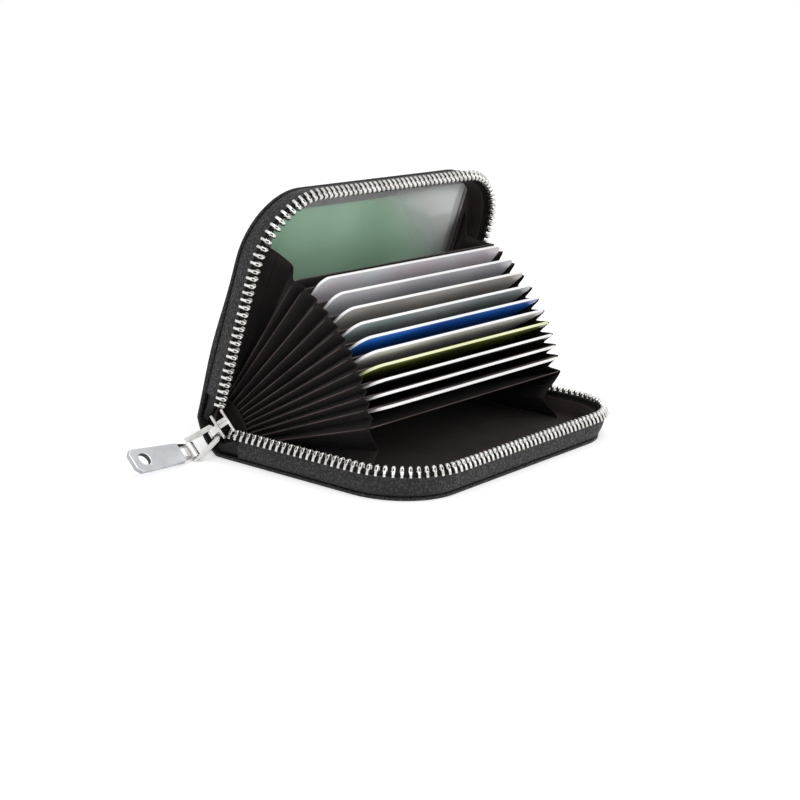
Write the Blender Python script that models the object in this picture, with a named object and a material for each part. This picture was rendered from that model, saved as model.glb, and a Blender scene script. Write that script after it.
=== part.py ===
"""Zip-around leather card wallet, open, with its accordion of card pockets.

The frame is metres with +Z up. The lower cover lies flat, the spine runs along X at the rear (+Y),
the mouth faces -Y and the zip slider hangs at the spine end of the -X side. The origin is the centre
of the lower cover's underside. Both halves, every divider and the zip end turn about one axis along X,
so each piece is drawn in the closed wallet about that axis and then turned by its own angle.
"""

import math

import bmesh
import bpy
from mathutils import Matrix

MM = 0.001

# Cards, to the common card standard
CARD_LENGTH = 85.6 * MM
CARD_DEPTH = 53.98 * MM
CARD_THICKNESS = 0.76 * MM
CARD_CORNER = 3.18 * MM

# Outer shell, sized round the cards
COVER_SIDE_ROOM = 10.7 * MM
COVER_DEPTH_ROOM = 12.52 * MM
COVER_WIDTH = CARD_LENGTH + 2 * COVER_SIDE_ROOM
COVER_DEPTH = CARD_DEPTH + COVER_DEPTH_ROOM
FRONT_CORNER_RADIUS = 18.9 * MM
SPINE_CORNER_RADIUS = 3.0 * MM
COVER_THICKNESS = 0.9 * MM
BOARD_THICKNESS = 0.4 * MM
LINING_THICKNESS = 0.2 * MM
GLUE_GAP = 0.1 * MM
LAYERS = COVER_THICKNESS + BOARD_THICKNESS + LINING_THICKNESS + 2 * GLUE_GAP
BOARD_INSET = 2.6 * MM
LINING_INSET = 2.4 * MM

# Opening and hinge axis
OPEN_ANGLE = math.radians(74.5)
HINGE_SETBACK = 2.0 * MM
HINGE_Y = COVER_DEPTH / 2 - HINGE_SETBACK

# Spine leather and the fabric strip behind the pockets
SPINE_THICKNESS = 0.8 * MM
SPINE_END_INSET = 1.0 * MM
SPINE_LIFT = 0.15 * MM
SPINE_PINCH = 8.0 * MM
BACK_STRIP_THICKNESS = 0.2 * MM
BACK_STRIP_GAP = 0.15 * MM
SPINE_STEPS = 8
PINCH_STEPS = 4

# Side wall, zip tape and zip teeth
WALL_INSET = 0.2 * MM
WALL_THICKNESS = 0.8 * MM
WALL_TOP = 2.15 * MM
WALL_FLARE = 1.9 * MM
TAPE_THICKNESS = 0.4 * MM
TAPE_GAP = 0.1 * MM
TAPE_FOOT = 2.4 * MM
TAPE_TOP = 2.05 * MM
BEAD_THICKNESS = 2.4 * MM
BEAD_PROUD = 0.3 * MM
BEAD_HEIGHT = 0.9 * MM
BEAD_GAP = 0.1 * MM
TOOTH_PITCH = 2.1 * MM
TOOTH_LENGTH = 0.85 * MM
TOOTH_REACH = 0.45 * MM
ROW_START = 8.6 * MM
WALL_START = 6.5 * MM
CORNER_STEPS = 8

# Smooth leather tabs that close the side wall at the spine, and the metal stops at the zip's ends
TAB_HEIGHT = 2.5 * MM
TAB_CLEARANCE = 0.3 * MM
TAB_LENGTH = 7.7 * MM
STOP_LENGTH = 1.5 * MM
STOP_HEIGHT = 1.8 * MM
STOP_GAP = 0.3 * MM
BOTTOM_STOP_WIDTH = 2.0 * MM
BOTTOM_STOP_HALF_HEIGHT = 1.1 * MM
BOTTOM_STOP_SETBACK = 4.9 * MM
BOTTOM_STOP_INSET = 0.8 * MM

# Accordion: dividers, their fan at rest as shares of the opening, and the pleated ends
CARD_BACK = 4.7 * MM
CARD_GAP = 0.04 * MM
CARD_PROUD = 3.78 * MM
EMPTY_POCKETS = 1
EMPTY_POCKET_GAP = 0.3 * MM
DIVIDER_THICKNESS = 0.15 * MM
DIVIDER_SIDE_ROOM = 4.2 * MM
DIVIDER_WIDTH = CARD_LENGTH + 2 * DIVIDER_SIDE_ROOM
DIVIDER_MOUTH = CARD_DEPTH - CARD_BACK - CARD_PROUD
DIVIDER_BACK = 3.6 * MM
DIVIDER_CORNER = 1.5 * MM
FAN_SHARES = (0.775, 0.724, 0.655, 0.595, 0.541, 0.493, 0.449, 0.407, 0.366, 0.329, 0.293, 0.235)
PLEAT_DEPTH = 3.7 * MM
PLEAT_GAP = 0.15 * MM
PLEAT_THICKNESS = 0.35 * MM
PLEAT_START = 2.2 * MM

# The plain card behind the clear window, and the window's frame
ID_CARD_THICKNESS = 0.45 * MM
ID_CARD_SETBACK = 5.02 * MM
WINDOW_THICKNESS = 0.15 * MM
WINDOW_GAP = 0.05 * MM
WINDOW_FRONT = CARD_DEPTH + ID_CARD_SETBACK
WINDOW_PANEL = 11.5 * MM
FRAME_WIDTH = 4.0 * MM
FRAME_OVERLAP = 2.0 * MM
FRAME_CLEARANCE = 0.3 * MM
FRAME_REAR_STRIP = 10.0 * MM

# Half the closed wallet's height: the layers, the stack of pockets, the room that its fan needs, the window
# and the space for notes under it
FULL_POCKETS = len(FAN_SHARES) - 1 - EMPTY_POCKETS
FAN_ROOM = DIVIDER_BACK * (FAN_SHARES[0] - FAN_SHARES[EMPTY_POCKETS]) * OPEN_ANGLE
FAN_ROOM += CARD_BACK * (FAN_SHARES[EMPTY_POCKETS] - FAN_SHARES[-1]) * OPEN_ANGLE
STACK_HEIGHT = len(FAN_SHARES) * DIVIDER_THICKNESS + EMPTY_POCKETS * EMPTY_POCKET_GAP + FAN_ROOM
STACK_HEIGHT += FULL_POCKETS * (CARD_THICKNESS + 2 * CARD_GAP)
WINDOW_HEIGHT = GLUE_GAP + ID_CARD_THICKNESS + WINDOW_GAP + WINDOW_THICKNESS + PLEAT_GAP
NOTE_SPACE = 0.5729 * MM
HALF_HEIGHT = LAYERS + (STACK_HEIGHT + WINDOW_HEIGHT + NOTE_SPACE) / 2
HINGE_Z = HALF_HEIGHT

# Slider, in its own frame: outward is -X, its mouth faces -Y and its width runs along Z
SLIDER_OUTSIDE = 0.2 * MM
SLIDER_X = -(COVER_WIDTH / 2 + SLIDER_OUTSIDE)
SLIDER_AHEAD = 1.4 * MM
SLIDER_ROLL = math.radians(46.0)
SLIDER_TWIST = math.radians(50.0)
PLATE_LENGTH = 9.5 * MM
PLATE_MOUTH_WIDTH = 7.6 * MM
PLATE_TAIL_WIDTH = 6.2 * MM
PLATE_THICKNESS = 0.8 * MM
PLATE_CHAMFER = 1.3 * MM
PLATE_SPACE = 2.4 * MM
POST_LENGTH = 2.2 * MM
POST_WIDTH = 1.4 * MM
BRIDGE_SPAN = 4.2 * MM
BRIDGE_SPACE = 2.3 * MM
BRIDGE_THICKNESS = 0.7 * MM
BRIDGE_WIDTH = 2.0 * MM
UNION_SINK = 0.2 * MM

# Link and tab of the puller
LINK_ANGLE = math.radians(87.0)
LINK_BAR = 1.2 * MM
LINK_LENGTH = 9.0 * MM
LINK_INNER_WIDTH = 5.0 * MM
LINK_OUTER_WIDTH = 6.6 * MM
LINK_PIVOT_LIFT = 1.4 * MM
TAB_ANGLE = math.radians(58.0)
PULL_LENGTH = 22.5 * MM
PULL_INNER_WIDTH = 4.2 * MM
PULL_OUTER_WIDTH = 7.0 * MM
PULL_THICKNESS = 1.4 * MM
PULL_CHAMFER = 1.4 * MM
PULL_HOLE_RADIUS = 1.75 * MM
PULL_HOLE_SETBACK = 4.6 * MM
PULL_HOLE_SIDES = 16
EYE_SIZE = 2.9 * MM
EYE_WIDTH = 3.0 * MM
EYE_CLEARANCE = 0.35 * MM
CUT_OVERRUN = 1.0 * MM

LOWER = -1
UPPER = 1
HALF_NAMES = {LOWER: "lower", UPPER: "upper"}


# Materials

def make_material(name, colour, roughness, metallic=0.0, alpha=1.0):
    material = bpy.data.materials.new(name)
    material.use_nodes = True
    shader = material.node_tree.nodes["Principled BSDF"]
    shader.inputs["Base Color"].default_value = (*colour, 1.0)
    shader.inputs["Roughness"].default_value = roughness
    shader.inputs["Metallic"].default_value = metallic
    shader.inputs["Alpha"].default_value = alpha
    material.diffuse_color = (*colour, alpha)
    return material


def make_materials():
    return {
        "leather": make_material("black_grained_leather", (0.018, 0.018, 0.02), 0.5),
        "smooth": make_material("black_smooth_leather", (0.008, 0.008, 0.009), 0.35),
        "board": make_material("grey_board", (0.25, 0.23, 0.2), 0.9),
        "fabric": make_material("dark_brown_lining", (0.022, 0.014, 0.012), 0.8),
        "tape": make_material("black_zip_tape", (0.012, 0.012, 0.013), 0.85),
        "nickel": make_material("bright_nickel", (0.78, 0.77, 0.75), 0.18, metallic=1.0),
        "window": make_material("clear_film", (0.9, 0.92, 0.92), 0.1, alpha=0.3),
        "card": make_material("white_card", (0.8, 0.8, 0.8), 0.35),
        "green_card": make_material("pale_green_card", (0.24, 0.38, 0.25), 0.4),
    }


# Meshes

def add_object(name, bm, material, parent):
    bmesh.ops.remove_doubles(bm, verts=bm.verts, dist=0.001 * MM)
    bmesh.ops.recalc_face_normals(bm, faces=bm.faces)
    mesh = bpy.data.meshes.new(name)
    bm.to_mesh(mesh)
    bm.free()
    mesh.materials.append(material)
    obj = bpy.data.objects.new(name, mesh)
    bpy.context.scene.collection.objects.link(obj)
    obj.parent = parent
    return obj


def arc(cx, cy, radius, start, end, steps):
    points = []
    for step in range(steps + 1):
        angle = math.radians(start + (end - start) * step / steps)
        points.append((cx + radius * math.cos(angle), cy + radius * math.sin(angle)))
    return points


def rounded_outline(left, right, front, rear, front_radius, rear_radius, steps):
    """A rectangle seen from above, with one radius at the front corners and another at the rear."""
    points = arc(left + front_radius, front + front_radius, front_radius, 180, 270, steps)
    points += arc(right - front_radius, front + front_radius, front_radius, 270, 360, steps)
    if rear_radius:
        points += arc(right - rear_radius, rear - rear_radius, rear_radius, 0, 90, steps)
        points += arc(left + rear_radius, rear - rear_radius, rear_radius, 90, 180, steps)
    else:
        points += [(right, rear), (left, rear)]
    return points


def prism(points, low, high, axis="z"):
    """Extrude an outline along one axis, from low to high."""
    place = {
        "x": lambda u, v: (low, u, v),
        "z": lambda u, v: (u, v, low),
    }[axis]
    push = {"x": (high - low, 0, 0), "z": (0, 0, high - low)}[axis]
    bm = bmesh.new()
    face = bm.faces.new([bm.verts.new(place(u, v)) for u, v in points])
    made = bmesh.ops.extrude_face_region(bm, geom=[face])
    moved = [item for item in made["geom"] if isinstance(item, bmesh.types.BMVert)]
    bmesh.ops.translate(bm, verts=moved, vec=push)
    return bm


def layer(half, outer, thickness):
    """The height range of a layer of one half, measured inwards from that half's outer face."""
    edges = (half * (HALF_HEIGHT - outer), half * (HALF_HEIGHT - outer - thickness))
    return min(edges), max(edges)


# The line that walls, tapes and teeth follow, round three sides of a half

def rim_length(inset, start):
    side = COVER_DEPTH - HINGE_SETBACK - FRONT_CORNER_RADIUS - start
    corner = math.pi / 2 * (FRONT_CORNER_RADIUS - inset)
    front = COVER_WIDTH - 2 * FRONT_CORNER_RADIUS
    return side, corner, front


def rim_point(distance, inset, start):
    """A point on the rim and its outward direction, at a distance from the -X side's spine end."""
    side, corner, front = rim_length(inset, start)
    left = -COVER_WIDTH / 2 + inset
    corner_x = COVER_WIDTH / 2 - FRONT_CORNER_RADIUS
    corner_y = -(COVER_DEPTH - HINGE_SETBACK - FRONT_CORNER_RADIUS)
    radius = FRONT_CORNER_RADIUS - inset
    if distance < side:
        return left, -start - distance, -1.0, 0.0
    distance -= side
    if distance < corner:
        angle = math.pi + distance / radius
        return (-corner_x + radius * math.cos(angle), corner_y + radius * math.sin(angle),
                math.cos(angle), math.sin(angle))
    distance -= corner
    if distance < front:
        return -corner_x + distance, corner_y - radius, 0.0, -1.0
    distance -= front
    if distance < corner:
        angle = 1.5 * math.pi + distance / radius
        return (corner_x + radius * math.cos(angle), corner_y + radius * math.sin(angle),
                math.cos(angle), math.sin(angle))
    distance -= corner
    return -left, corner_y + distance, 1.0, 0.0


def wall_stations(inset, start):
    side, corner, front = rim_length(inset, start)
    stations = [0.0]
    stations += [side + corner * step / CORNER_STEPS for step in range(CORNER_STEPS + 1)]
    stations += [side + corner + front + corner * step / CORNER_STEPS for step in range(CORNER_STEPS + 1)]
    stations.append(2 * side + 2 * corner + front)
    return stations


def flare(height):
    """How far the leaning side wall has moved outwards at a height from the parting plane."""
    foot = HALF_HEIGHT - COVER_THICKNESS - GLUE_GAP
    return WALL_FLARE * (foot - abs(height)) / (foot - WALL_TOP)


def band(stations, inset, start, thickness, low, high, lean_low, lean_high):
    """A strip that follows the rim through the given stations and leans out by its two leans."""
    bm = bmesh.new()
    rings = []
    for distance in stations:
        x, y, out_x, out_y = rim_point(distance, inset, start)
        ring = []
        for reach, height, lean in ((-0.5, low, lean_low), (0.5, low, lean_low),
                                    (0.5, high, lean_high), (-0.5, high, lean_high)):
            offset = reach * thickness + lean
            ring.append(bm.verts.new((x + out_x * offset, y + out_y * offset, height)))
        rings.append(ring)
    tops = []
    for first, second in zip(rings, rings[1:]):
        for corner in range(4):
            following = (corner + 1) % 4
            face = bm.faces.new((first[corner], first[following], second[following], second[corner]))
            if corner == 2:
                tops.append(face)
    bm.faces.new(rings[0])
    bm.faces.new(rings[-1])
    return bm, tops


# Halves

def add_shell(half, materials, parent):
    name = HALF_NAMES[half]
    side = COVER_WIDTH / 2
    front = -(COVER_DEPTH - HINGE_SETBACK)
    outline = rounded_outline(-side, side, front, HINGE_SETBACK, FRONT_CORNER_RADIUS,
                              SPINE_CORNER_RADIUS, CORNER_STEPS)
    low, high = layer(half, 0, COVER_THICKNESS)
    add_object(name + "_cover", prism(outline, low, high), materials["leather"], parent)

    depth = COVER_THICKNESS + GLUE_GAP
    outline = rounded_outline(-side + BOARD_INSET, side - BOARD_INSET, front + BOARD_INSET, -HINGE_SETBACK,
                              FRONT_CORNER_RADIUS - BOARD_INSET, 0, CORNER_STEPS)
    low, high = layer(half, depth, BOARD_THICKNESS)
    add_object(name + "_board", prism(outline, low, high), materials["board"], parent)

    depth += BOARD_THICKNESS + GLUE_GAP
    outline = rounded_outline(-side + LINING_INSET, side - LINING_INSET, front + LINING_INSET, 0,
                              FRONT_CORNER_RADIUS - LINING_INSET, 0, CORNER_STEPS)
    low, high = layer(half, depth, LINING_THICKNESS)
    add_object(name + "_lining", prism(outline, low, high), materials["fabric"], parent)


def add_side_wall(half, materials, parent):
    name = HALF_NAMES[half]
    inset = WALL_INSET + WALL_THICKNESS / 2
    foot, top = half * (HALF_HEIGHT - COVER_THICKNESS - GLUE_GAP), half * WALL_TOP
    bm, _ = band(wall_stations(inset, WALL_START), inset, WALL_START, WALL_THICKNESS,
                 foot, top, flare(foot), flare(top))
    add_object(name + "_side_wall", bm, materials["leather"], parent)

    for side, side_name in ((-1, "near"), (1, "far")):
        centre = side * (COVER_WIDTH / 2 - inset)
        left = centre - WALL_THICKNESS / 2
        right = centre + WALL_THICKNESS / 2
        front = -WALL_START + TAB_CLEARANCE
        rear = front + TAB_LENGTH
        outline = [(left, front), (right, front), (right, rear), (left, rear)]
        low, high = layer(half, COVER_THICKNESS + GLUE_GAP, TAB_HEIGHT)
        add_object(name + "_end_tab_" + side_name, prism(outline, low, high), materials["smooth"], parent)


def add_zip_half(half, materials, parent):
    name = HALF_NAMES[half]
    tape_inset = WALL_INSET + WALL_THICKNESS + TAPE_GAP + TAPE_THICKNESS / 2
    foot, top = half * (HALF_HEIGHT - TAPE_FOOT), half * TAPE_TOP
    bm, _ = band(wall_stations(tape_inset, WALL_START), tape_inset, WALL_START, TAPE_THICKNESS,
                 foot, top, flare(foot), flare(top))
    add_object(name + "_zip_tape", bm, materials["tape"], parent)

    bead_inset = WALL_INSET - WALL_FLARE - BEAD_PROUD + BEAD_THICKNESS / 2
    bead_foot = TAPE_TOP - BEAD_GAP
    bead_top = bead_foot - BEAD_HEIGHT
    side, corner, front = rim_length(bead_inset, ROW_START)
    total = 2 * side + 2 * corner + front
    phase = 0.0 if half == LOWER else TOOTH_PITCH / 2
    count = int((total - TOOTH_PITCH / 2 - TOOTH_LENGTH) / TOOTH_PITCH)
    row_end = TOOTH_PITCH * (count - 0.5) + TOOTH_LENGTH
    stations = []
    for tooth in range(count):
        begin = phase + tooth * TOOTH_PITCH
        stations += [begin, begin + TOOTH_LENGTH]
    bm, tops = band(stations, bead_inset, ROW_START, BEAD_THICKNESS, -bead_foot, -bead_top, 0, 0)
    heads = bmesh.ops.extrude_discrete_faces(bm, faces=tops[::2])["faces"]
    lifted = {vert for face in heads for vert in face.verts}
    bmesh.ops.translate(bm, verts=list(lifted), vec=(0, 0, bead_top + TOOTH_REACH))
    if half == UPPER:
        bmesh.ops.scale(bm, verts=bm.verts, vec=(1, 1, -1))
    add_object(name + "_zip_teeth", bm, materials["nickel"], parent)

    centre = COVER_WIDTH / 2 - bead_inset
    stop_front = rim_point(row_end + STOP_GAP, bead_inset, ROW_START)[1]
    outline = [
        (centre - BEAD_THICKNESS / 2, stop_front),
        (centre + BEAD_THICKNESS / 2, stop_front),
        (centre + BEAD_THICKNESS / 2, stop_front + STOP_LENGTH),
        (centre - BEAD_THICKNESS / 2, stop_front + STOP_LENGTH),
    ]
    edges = (half * bead_foot, half * (bead_foot - STOP_HEIGHT))
    add_object(name + "_top_stop", prism(outline, min(edges), max(edges)), materials["nickel"], parent)


def add_window(materials, parent):
    """The plain card behind a clear window, held by a fabric frame on the upper half's lining."""
    face = HALF_HEIGHT - LAYERS
    card_top = face - GLUE_GAP
    card_rear = -WINDOW_FRONT + CARD_DEPTH
    outline = rounded_outline(-CARD_LENGTH / 2, CARD_LENGTH / 2, -WINDOW_FRONT, card_rear,
                              CARD_CORNER, CARD_CORNER, CORNER_STEPS // 2)
    add_object("id_card", prism(outline, card_top - ID_CARD_THICKNESS, card_top),
               materials["green_card"], parent)

    sheet_top = card_top - ID_CARD_THICKNESS - WINDOW_GAP
    sheet_right = CARD_LENGTH / 2 - FRAME_OVERLAP
    sheet_left = WINDOW_PANEL - sheet_right
    sheet_front = -WINDOW_FRONT + FRAME_OVERLAP
    sheet_rear = card_rear - FRAME_REAR_STRIP
    outline = [(sheet_left, sheet_front), (sheet_right, sheet_front),
               (sheet_right, sheet_rear), (sheet_left, sheet_rear)]
    add_object("window_sheet", prism(outline, sheet_top - WINDOW_THICKNESS, sheet_top),
               materials["window"], parent)

    inner_left = sheet_left - FRAME_CLEARANCE
    inner_right = sheet_right + FRAME_CLEARANCE
    inner_front = sheet_front - FRAME_CLEARANCE
    inner_rear = sheet_rear + FRAME_CLEARANCE
    outer_side = inner_right + FRAME_WIDTH
    outer_rear = -DIVIDER_BACK
    front_edge = inner_front - FRAME_CLEARANCE - FRAME_OVERLAP / 2
    bm = bmesh.new()
    outer = [(-outer_side, front_edge), (outer_side, front_edge), (outer_side, outer_rear),
             (-outer_side, outer_rear)]
    inner = [(inner_left, inner_front), (inner_right, inner_front), (inner_right, inner_rear),
             (inner_left, inner_rear)]
    loops = [[bm.verts.new((x, y, sheet_top)) for x, y in loop] for loop in (outer, inner)]
    flat = []
    for corner in range(4):
        following = (corner + 1) % 4
        flat.append(bm.faces.new((loops[0][corner], loops[0][following],
                                  loops[1][following], loops[1][corner])))
    made = bmesh.ops.extrude_face_region(bm, geom=flat)
    moved = [item for item in made["geom"] if isinstance(item, bmesh.types.BMVert)]
    bmesh.ops.translate(bm, verts=moved, vec=(0, 0, -WINDOW_THICKNESS))
    add_object("window_frame", bm, materials["fabric"], parent)


# Spine

def spine_point(radius, angle, start, end, flatness):
    """A point across the spine: on an arc about the hinge axis, or on its chord where it is pinched."""
    middle = (start + end) / 2
    chord = radius * math.cos(math.radians(end - middle)) / math.cos(math.radians(angle - middle))
    reach = radius + (chord - radius) * flatness
    return reach * math.cos(math.radians(angle)), reach * math.sin(math.radians(angle))


def add_curved_strip(name, radius, thickness, stations, start, end, material, parent):
    """A strip bent about the hinge axis, with its own flatness at each station along X."""
    bm = bmesh.new()
    sections = []
    for x, flatness in stations:
        section = []
        outward = list(range(SPINE_STEPS + 1))
        for reach, order in ((radius, outward), (radius - thickness, reversed(outward))):
            for step in order:
                angle = start + (end - start) * step / SPINE_STEPS
                section.append(bm.verts.new((x, *spine_point(reach, angle, start, end, flatness))))
        sections.append(section)
    count = len(sections[0])
    for first, second in zip(sections, sections[1:]):
        for corner in range(count):
            following = (corner + 1) % count
            bm.faces.new((first[corner], first[following], second[following], second[corner]))
    for section in (sections[0], sections[-1]):
        for step in range(SPINE_STEPS):
            across = count - 1 - step
            bm.faces.new((section[step], section[step + 1], section[across - 1], section[across]))
    return add_object(name, bm, material, parent)


def add_spine(materials, parent):
    edge_radius = math.hypot(HINGE_SETBACK, HALF_HEIGHT)
    edge_angle = math.degrees(math.atan2(HALF_HEIGHT, HINGE_SETBACK))
    lift = math.degrees(SPINE_LIFT / edge_radius) + math.degrees(COVER_THICKNESS / edge_radius) / 2
    start = -edge_angle + lift
    end = edge_angle - math.degrees(OPEN_ANGLE) - lift
    half_length = COVER_WIDTH / 2 - SPINE_END_INSET
    pinch = []
    for step in range(PINCH_STEPS + 1):
        share = step / PINCH_STEPS
        pinch.append((half_length - SPINE_PINCH * share, 1 - share * share * (3 - 2 * share)))
    stations = [(-x, flatness) for x, flatness in pinch] + list(reversed(pinch))
    add_curved_strip("spine_panel", edge_radius - SPINE_LIFT, SPINE_THICKNESS, stations,
                     start, end, materials["leather"], parent)
    inner = edge_radius - SPINE_LIFT - SPINE_THICKNESS - BACK_STRIP_GAP
    strip = half_length - SPINE_PINCH
    add_curved_strip("bellows_back_strip", inner, BACK_STRIP_THICKNESS, [(-strip, 0), (strip, 0)],
                     start, end, materials["fabric"], parent)


# Accordion

def divider_heights():
    """Each divider's height from the hinge axis in the closed wallet, the top one first.

    The dividers close up behind the axis as they fan out, so a pocket is as high as its card and
    what the fan takes away at the card's back.
    """
    inner_face = HALF_HEIGHT - LAYERS
    height = inner_face - GLUE_GAP - ID_CARD_THICKNESS - WINDOW_GAP - WINDOW_THICKNESS
    height -= PLEAT_GAP + DIVIDER_THICKNESS / 2
    heights = [height]
    for number in range(1, len(FAN_SHARES)):
        fan = (FAN_SHARES[number - 1] - FAN_SHARES[number]) * OPEN_ANGLE
        if number <= EMPTY_POCKETS:
            height -= DIVIDER_THICKNESS + EMPTY_POCKET_GAP + DIVIDER_BACK * fan
        else:
            height -= DIVIDER_THICKNESS + CARD_THICKNESS + 2 * CARD_GAP + CARD_BACK * fan
        heights.append(height)
    return heights


def add_dividers(materials, empties):
    outline = rounded_outline(-DIVIDER_WIDTH / 2, DIVIDER_WIDTH / 2, -DIVIDER_MOUTH, DIVIDER_BACK,
                              DIVIDER_CORNER, 0, 2)
    heights = divider_heights()
    for number, empty in enumerate(empties):
        height = heights[number]
        bm = prism(outline, height - DIVIDER_THICKNESS / 2, height + DIVIDER_THICKNESS / 2)
        add_object("divider_%02d" % (number + 1), bm, materials["fabric"], empty)


def add_cards(materials, empties):
    outline = rounded_outline(-CARD_LENGTH / 2, CARD_LENGTH / 2, CARD_BACK - CARD_DEPTH, CARD_BACK,
                              CARD_CORNER, CARD_CORNER, CORNER_STEPS // 2)
    heights = divider_heights()
    for card, number in enumerate(range(EMPTY_POCKETS, len(empties) - 1)):
        high = heights[number] - DIVIDER_THICKNESS / 2 - CARD_GAP
        bm = prism(outline, high - CARD_THICKNESS, high)
        add_object("card_%02d" % (card + 1), bm, materials["card"], empties[number])


def turned(y, z, angle):
    """A point of the closed wallet after its piece has opened by an angle."""
    return y * math.cos(angle) + z * math.sin(angle), z * math.cos(angle) - y * math.sin(angle)


def add_pleats(materials, parent):
    """The folded fabric at each end: a ridge over each divider's end and a valley in each pocket."""
    inner_face = HALF_HEIGHT - LAYERS
    clear = DIVIDER_THICKNESS / 2 + PLEAT_GAP
    levels = [(inner_face - ID_CARD_THICKNESS - WINDOW_THICKNESS - 3 * GLUE_GAP, OPEN_ANGLE, (0,))]
    for height, share in zip(divider_heights(), FAN_SHARES):
        levels.append((height, share * OPEN_ANGLE, (clear, -clear)))
    levels.append((GLUE_GAP - inner_face, 0.0, (0,)))
    ridge = DIVIDER_WIDTH / 2 + PLEAT_GAP
    for side, name in ((-1, "left_bellows_gusset"), (1, "right_bellows_gusset")):
        rows = []
        for distance in (PLEAT_START, DIVIDER_MOUTH):
            row = []
            for height, angle, offsets in levels:
                points = [turned(-distance, height + offset, angle) for offset in offsets]
                if row:
                    last = row[-1]
                    middle = ((last[1] + points[0][0]) / 2, (last[2] + points[0][1]) / 2)
                    row.append((ridge - PLEAT_DEPTH, *middle))
                row += [(ridge, *point) for point in points]
            rows.append(row)
        bm = bmesh.new()
        sheets = []
        for shift in (0, PLEAT_THICKNESS):
            sheets.append([[bm.verts.new((side * (x + shift), y, z)) for x, y, z in row] for row in rows])
        count = len(rows[0])
        for step in range(count - 1):
            for sheet in sheets:
                bm.faces.new((sheet[0][step], sheet[0][step + 1], sheet[1][step + 1], sheet[1][step]))
            for end in (0, 1):
                inner, outer = sheets[0][end], sheets[1][end]
                bm.faces.new((inner[step], inner[step + 1], outer[step + 1], outer[step]))
        for step in (0, count - 1):
            bm.faces.new((sheets[0][0][step], sheets[0][1][step], sheets[1][1][step], sheets[1][0][step]))
        add_object(name, bm, materials["fabric"], parent)


# Zip slider and puller

def combine(obj, bm, operation, name):
    """Add or cut a second shape on an object, in the object's own frame."""
    tool = add_object(name, bm, obj.data.materials[0], obj.parent)
    tool.matrix_basis = obj.matrix_basis
    tool.hide_render = True
    tool.display_type = "WIRE"
    modifier = obj.modifiers.new(name, "BOOLEAN")
    modifier.operation = operation
    modifier.solver = "EXACT"
    modifier.object = tool


def box(x_range, y_range, z_range):
    (x0, x1), (y0, y1), (z0, z1) = x_range, y_range, z_range
    return prism([(x0, y0), (x1, y0), (x1, y1), (x0, y1)], z0, z1)


def plate_outline():
    half = PLATE_LENGTH / 2
    mouth = PLATE_MOUTH_WIDTH / 2
    tail = PLATE_TAIL_WIDTH / 2
    return [
        (-half, -mouth + PLATE_CHAMFER), (-half + PLATE_CHAMFER, -mouth), (half - PLATE_CHAMFER, -tail),
        (half, -tail + PLATE_CHAMFER), (half, tail - PLATE_CHAMFER), (half - PLATE_CHAMFER, tail),
        (-half + PLATE_CHAMFER, mouth), (-half, mouth - PLATE_CHAMFER),
    ]


def add_slider(materials, parent):
    outer_face = PLATE_SPACE / 2 + PLATE_THICKNESS
    body = add_object("slider_body", prism(plate_outline(), -outer_face, -PLATE_SPACE / 2, axis="x"),
                      materials["nickel"], parent)
    combine(body, prism(plate_outline(), PLATE_SPACE / 2, outer_face, axis="x"), "UNION", "guide_inner_plate")
    mouth = -PLATE_LENGTH / 2
    post = box((-PLATE_SPACE / 2 - UNION_SINK, PLATE_SPACE / 2 + UNION_SINK),
               (mouth + UNION_SINK, mouth + POST_LENGTH), (-POST_WIDTH / 2, POST_WIDTH / 2))
    combine(body, post, "UNION", "guide_post")
    span = BRIDGE_SPAN / 2 + BRIDGE_THICKNESS
    top = -outer_face - BRIDGE_SPACE
    foot = -outer_face + UNION_SINK
    inside = BRIDGE_SPAN / 2
    arch = prism([(foot, -span), (top, -span), (top - BRIDGE_THICKNESS, -inside),
                  (top - BRIDGE_THICKNESS, inside), (top, span), (foot, span),
                  (foot, inside), (top, inside), (top, -inside), (foot, -inside)],
                 -BRIDGE_WIDTH / 2, BRIDGE_WIDTH / 2)
    combine(body, arch, "UNION", "guide_bridge")


def add_link(materials, parent):
    bar = LINK_BAR / 2
    inner = LINK_INNER_WIDTH / 2
    outer = LINK_OUTER_WIDTH / 2
    far = LINK_LENGTH - bar
    chamfer = LINK_BAR / 2
    outline = [(-bar, -inner + chamfer), (-bar + chamfer, -inner), (far - chamfer, -outer),
               (far, -outer + chamfer), (far, outer - chamfer), (far - chamfer, outer),
               (-bar + chamfer, inner), (-bar, inner - chamfer)]
    link = add_object("pull_link", prism(outline, -bar, bar, axis="x"), materials["nickel"], parent)
    hole = [(bar, -inner + LINK_BAR), (far - LINK_BAR, -outer + LINK_BAR),
            (far - LINK_BAR, outer - LINK_BAR), (bar, inner - LINK_BAR)]
    combine(link, prism(hole, -bar - CUT_OVERRUN, bar + CUT_OVERRUN, axis="x"), "DIFFERENCE", "cut_link_hole")


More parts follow.
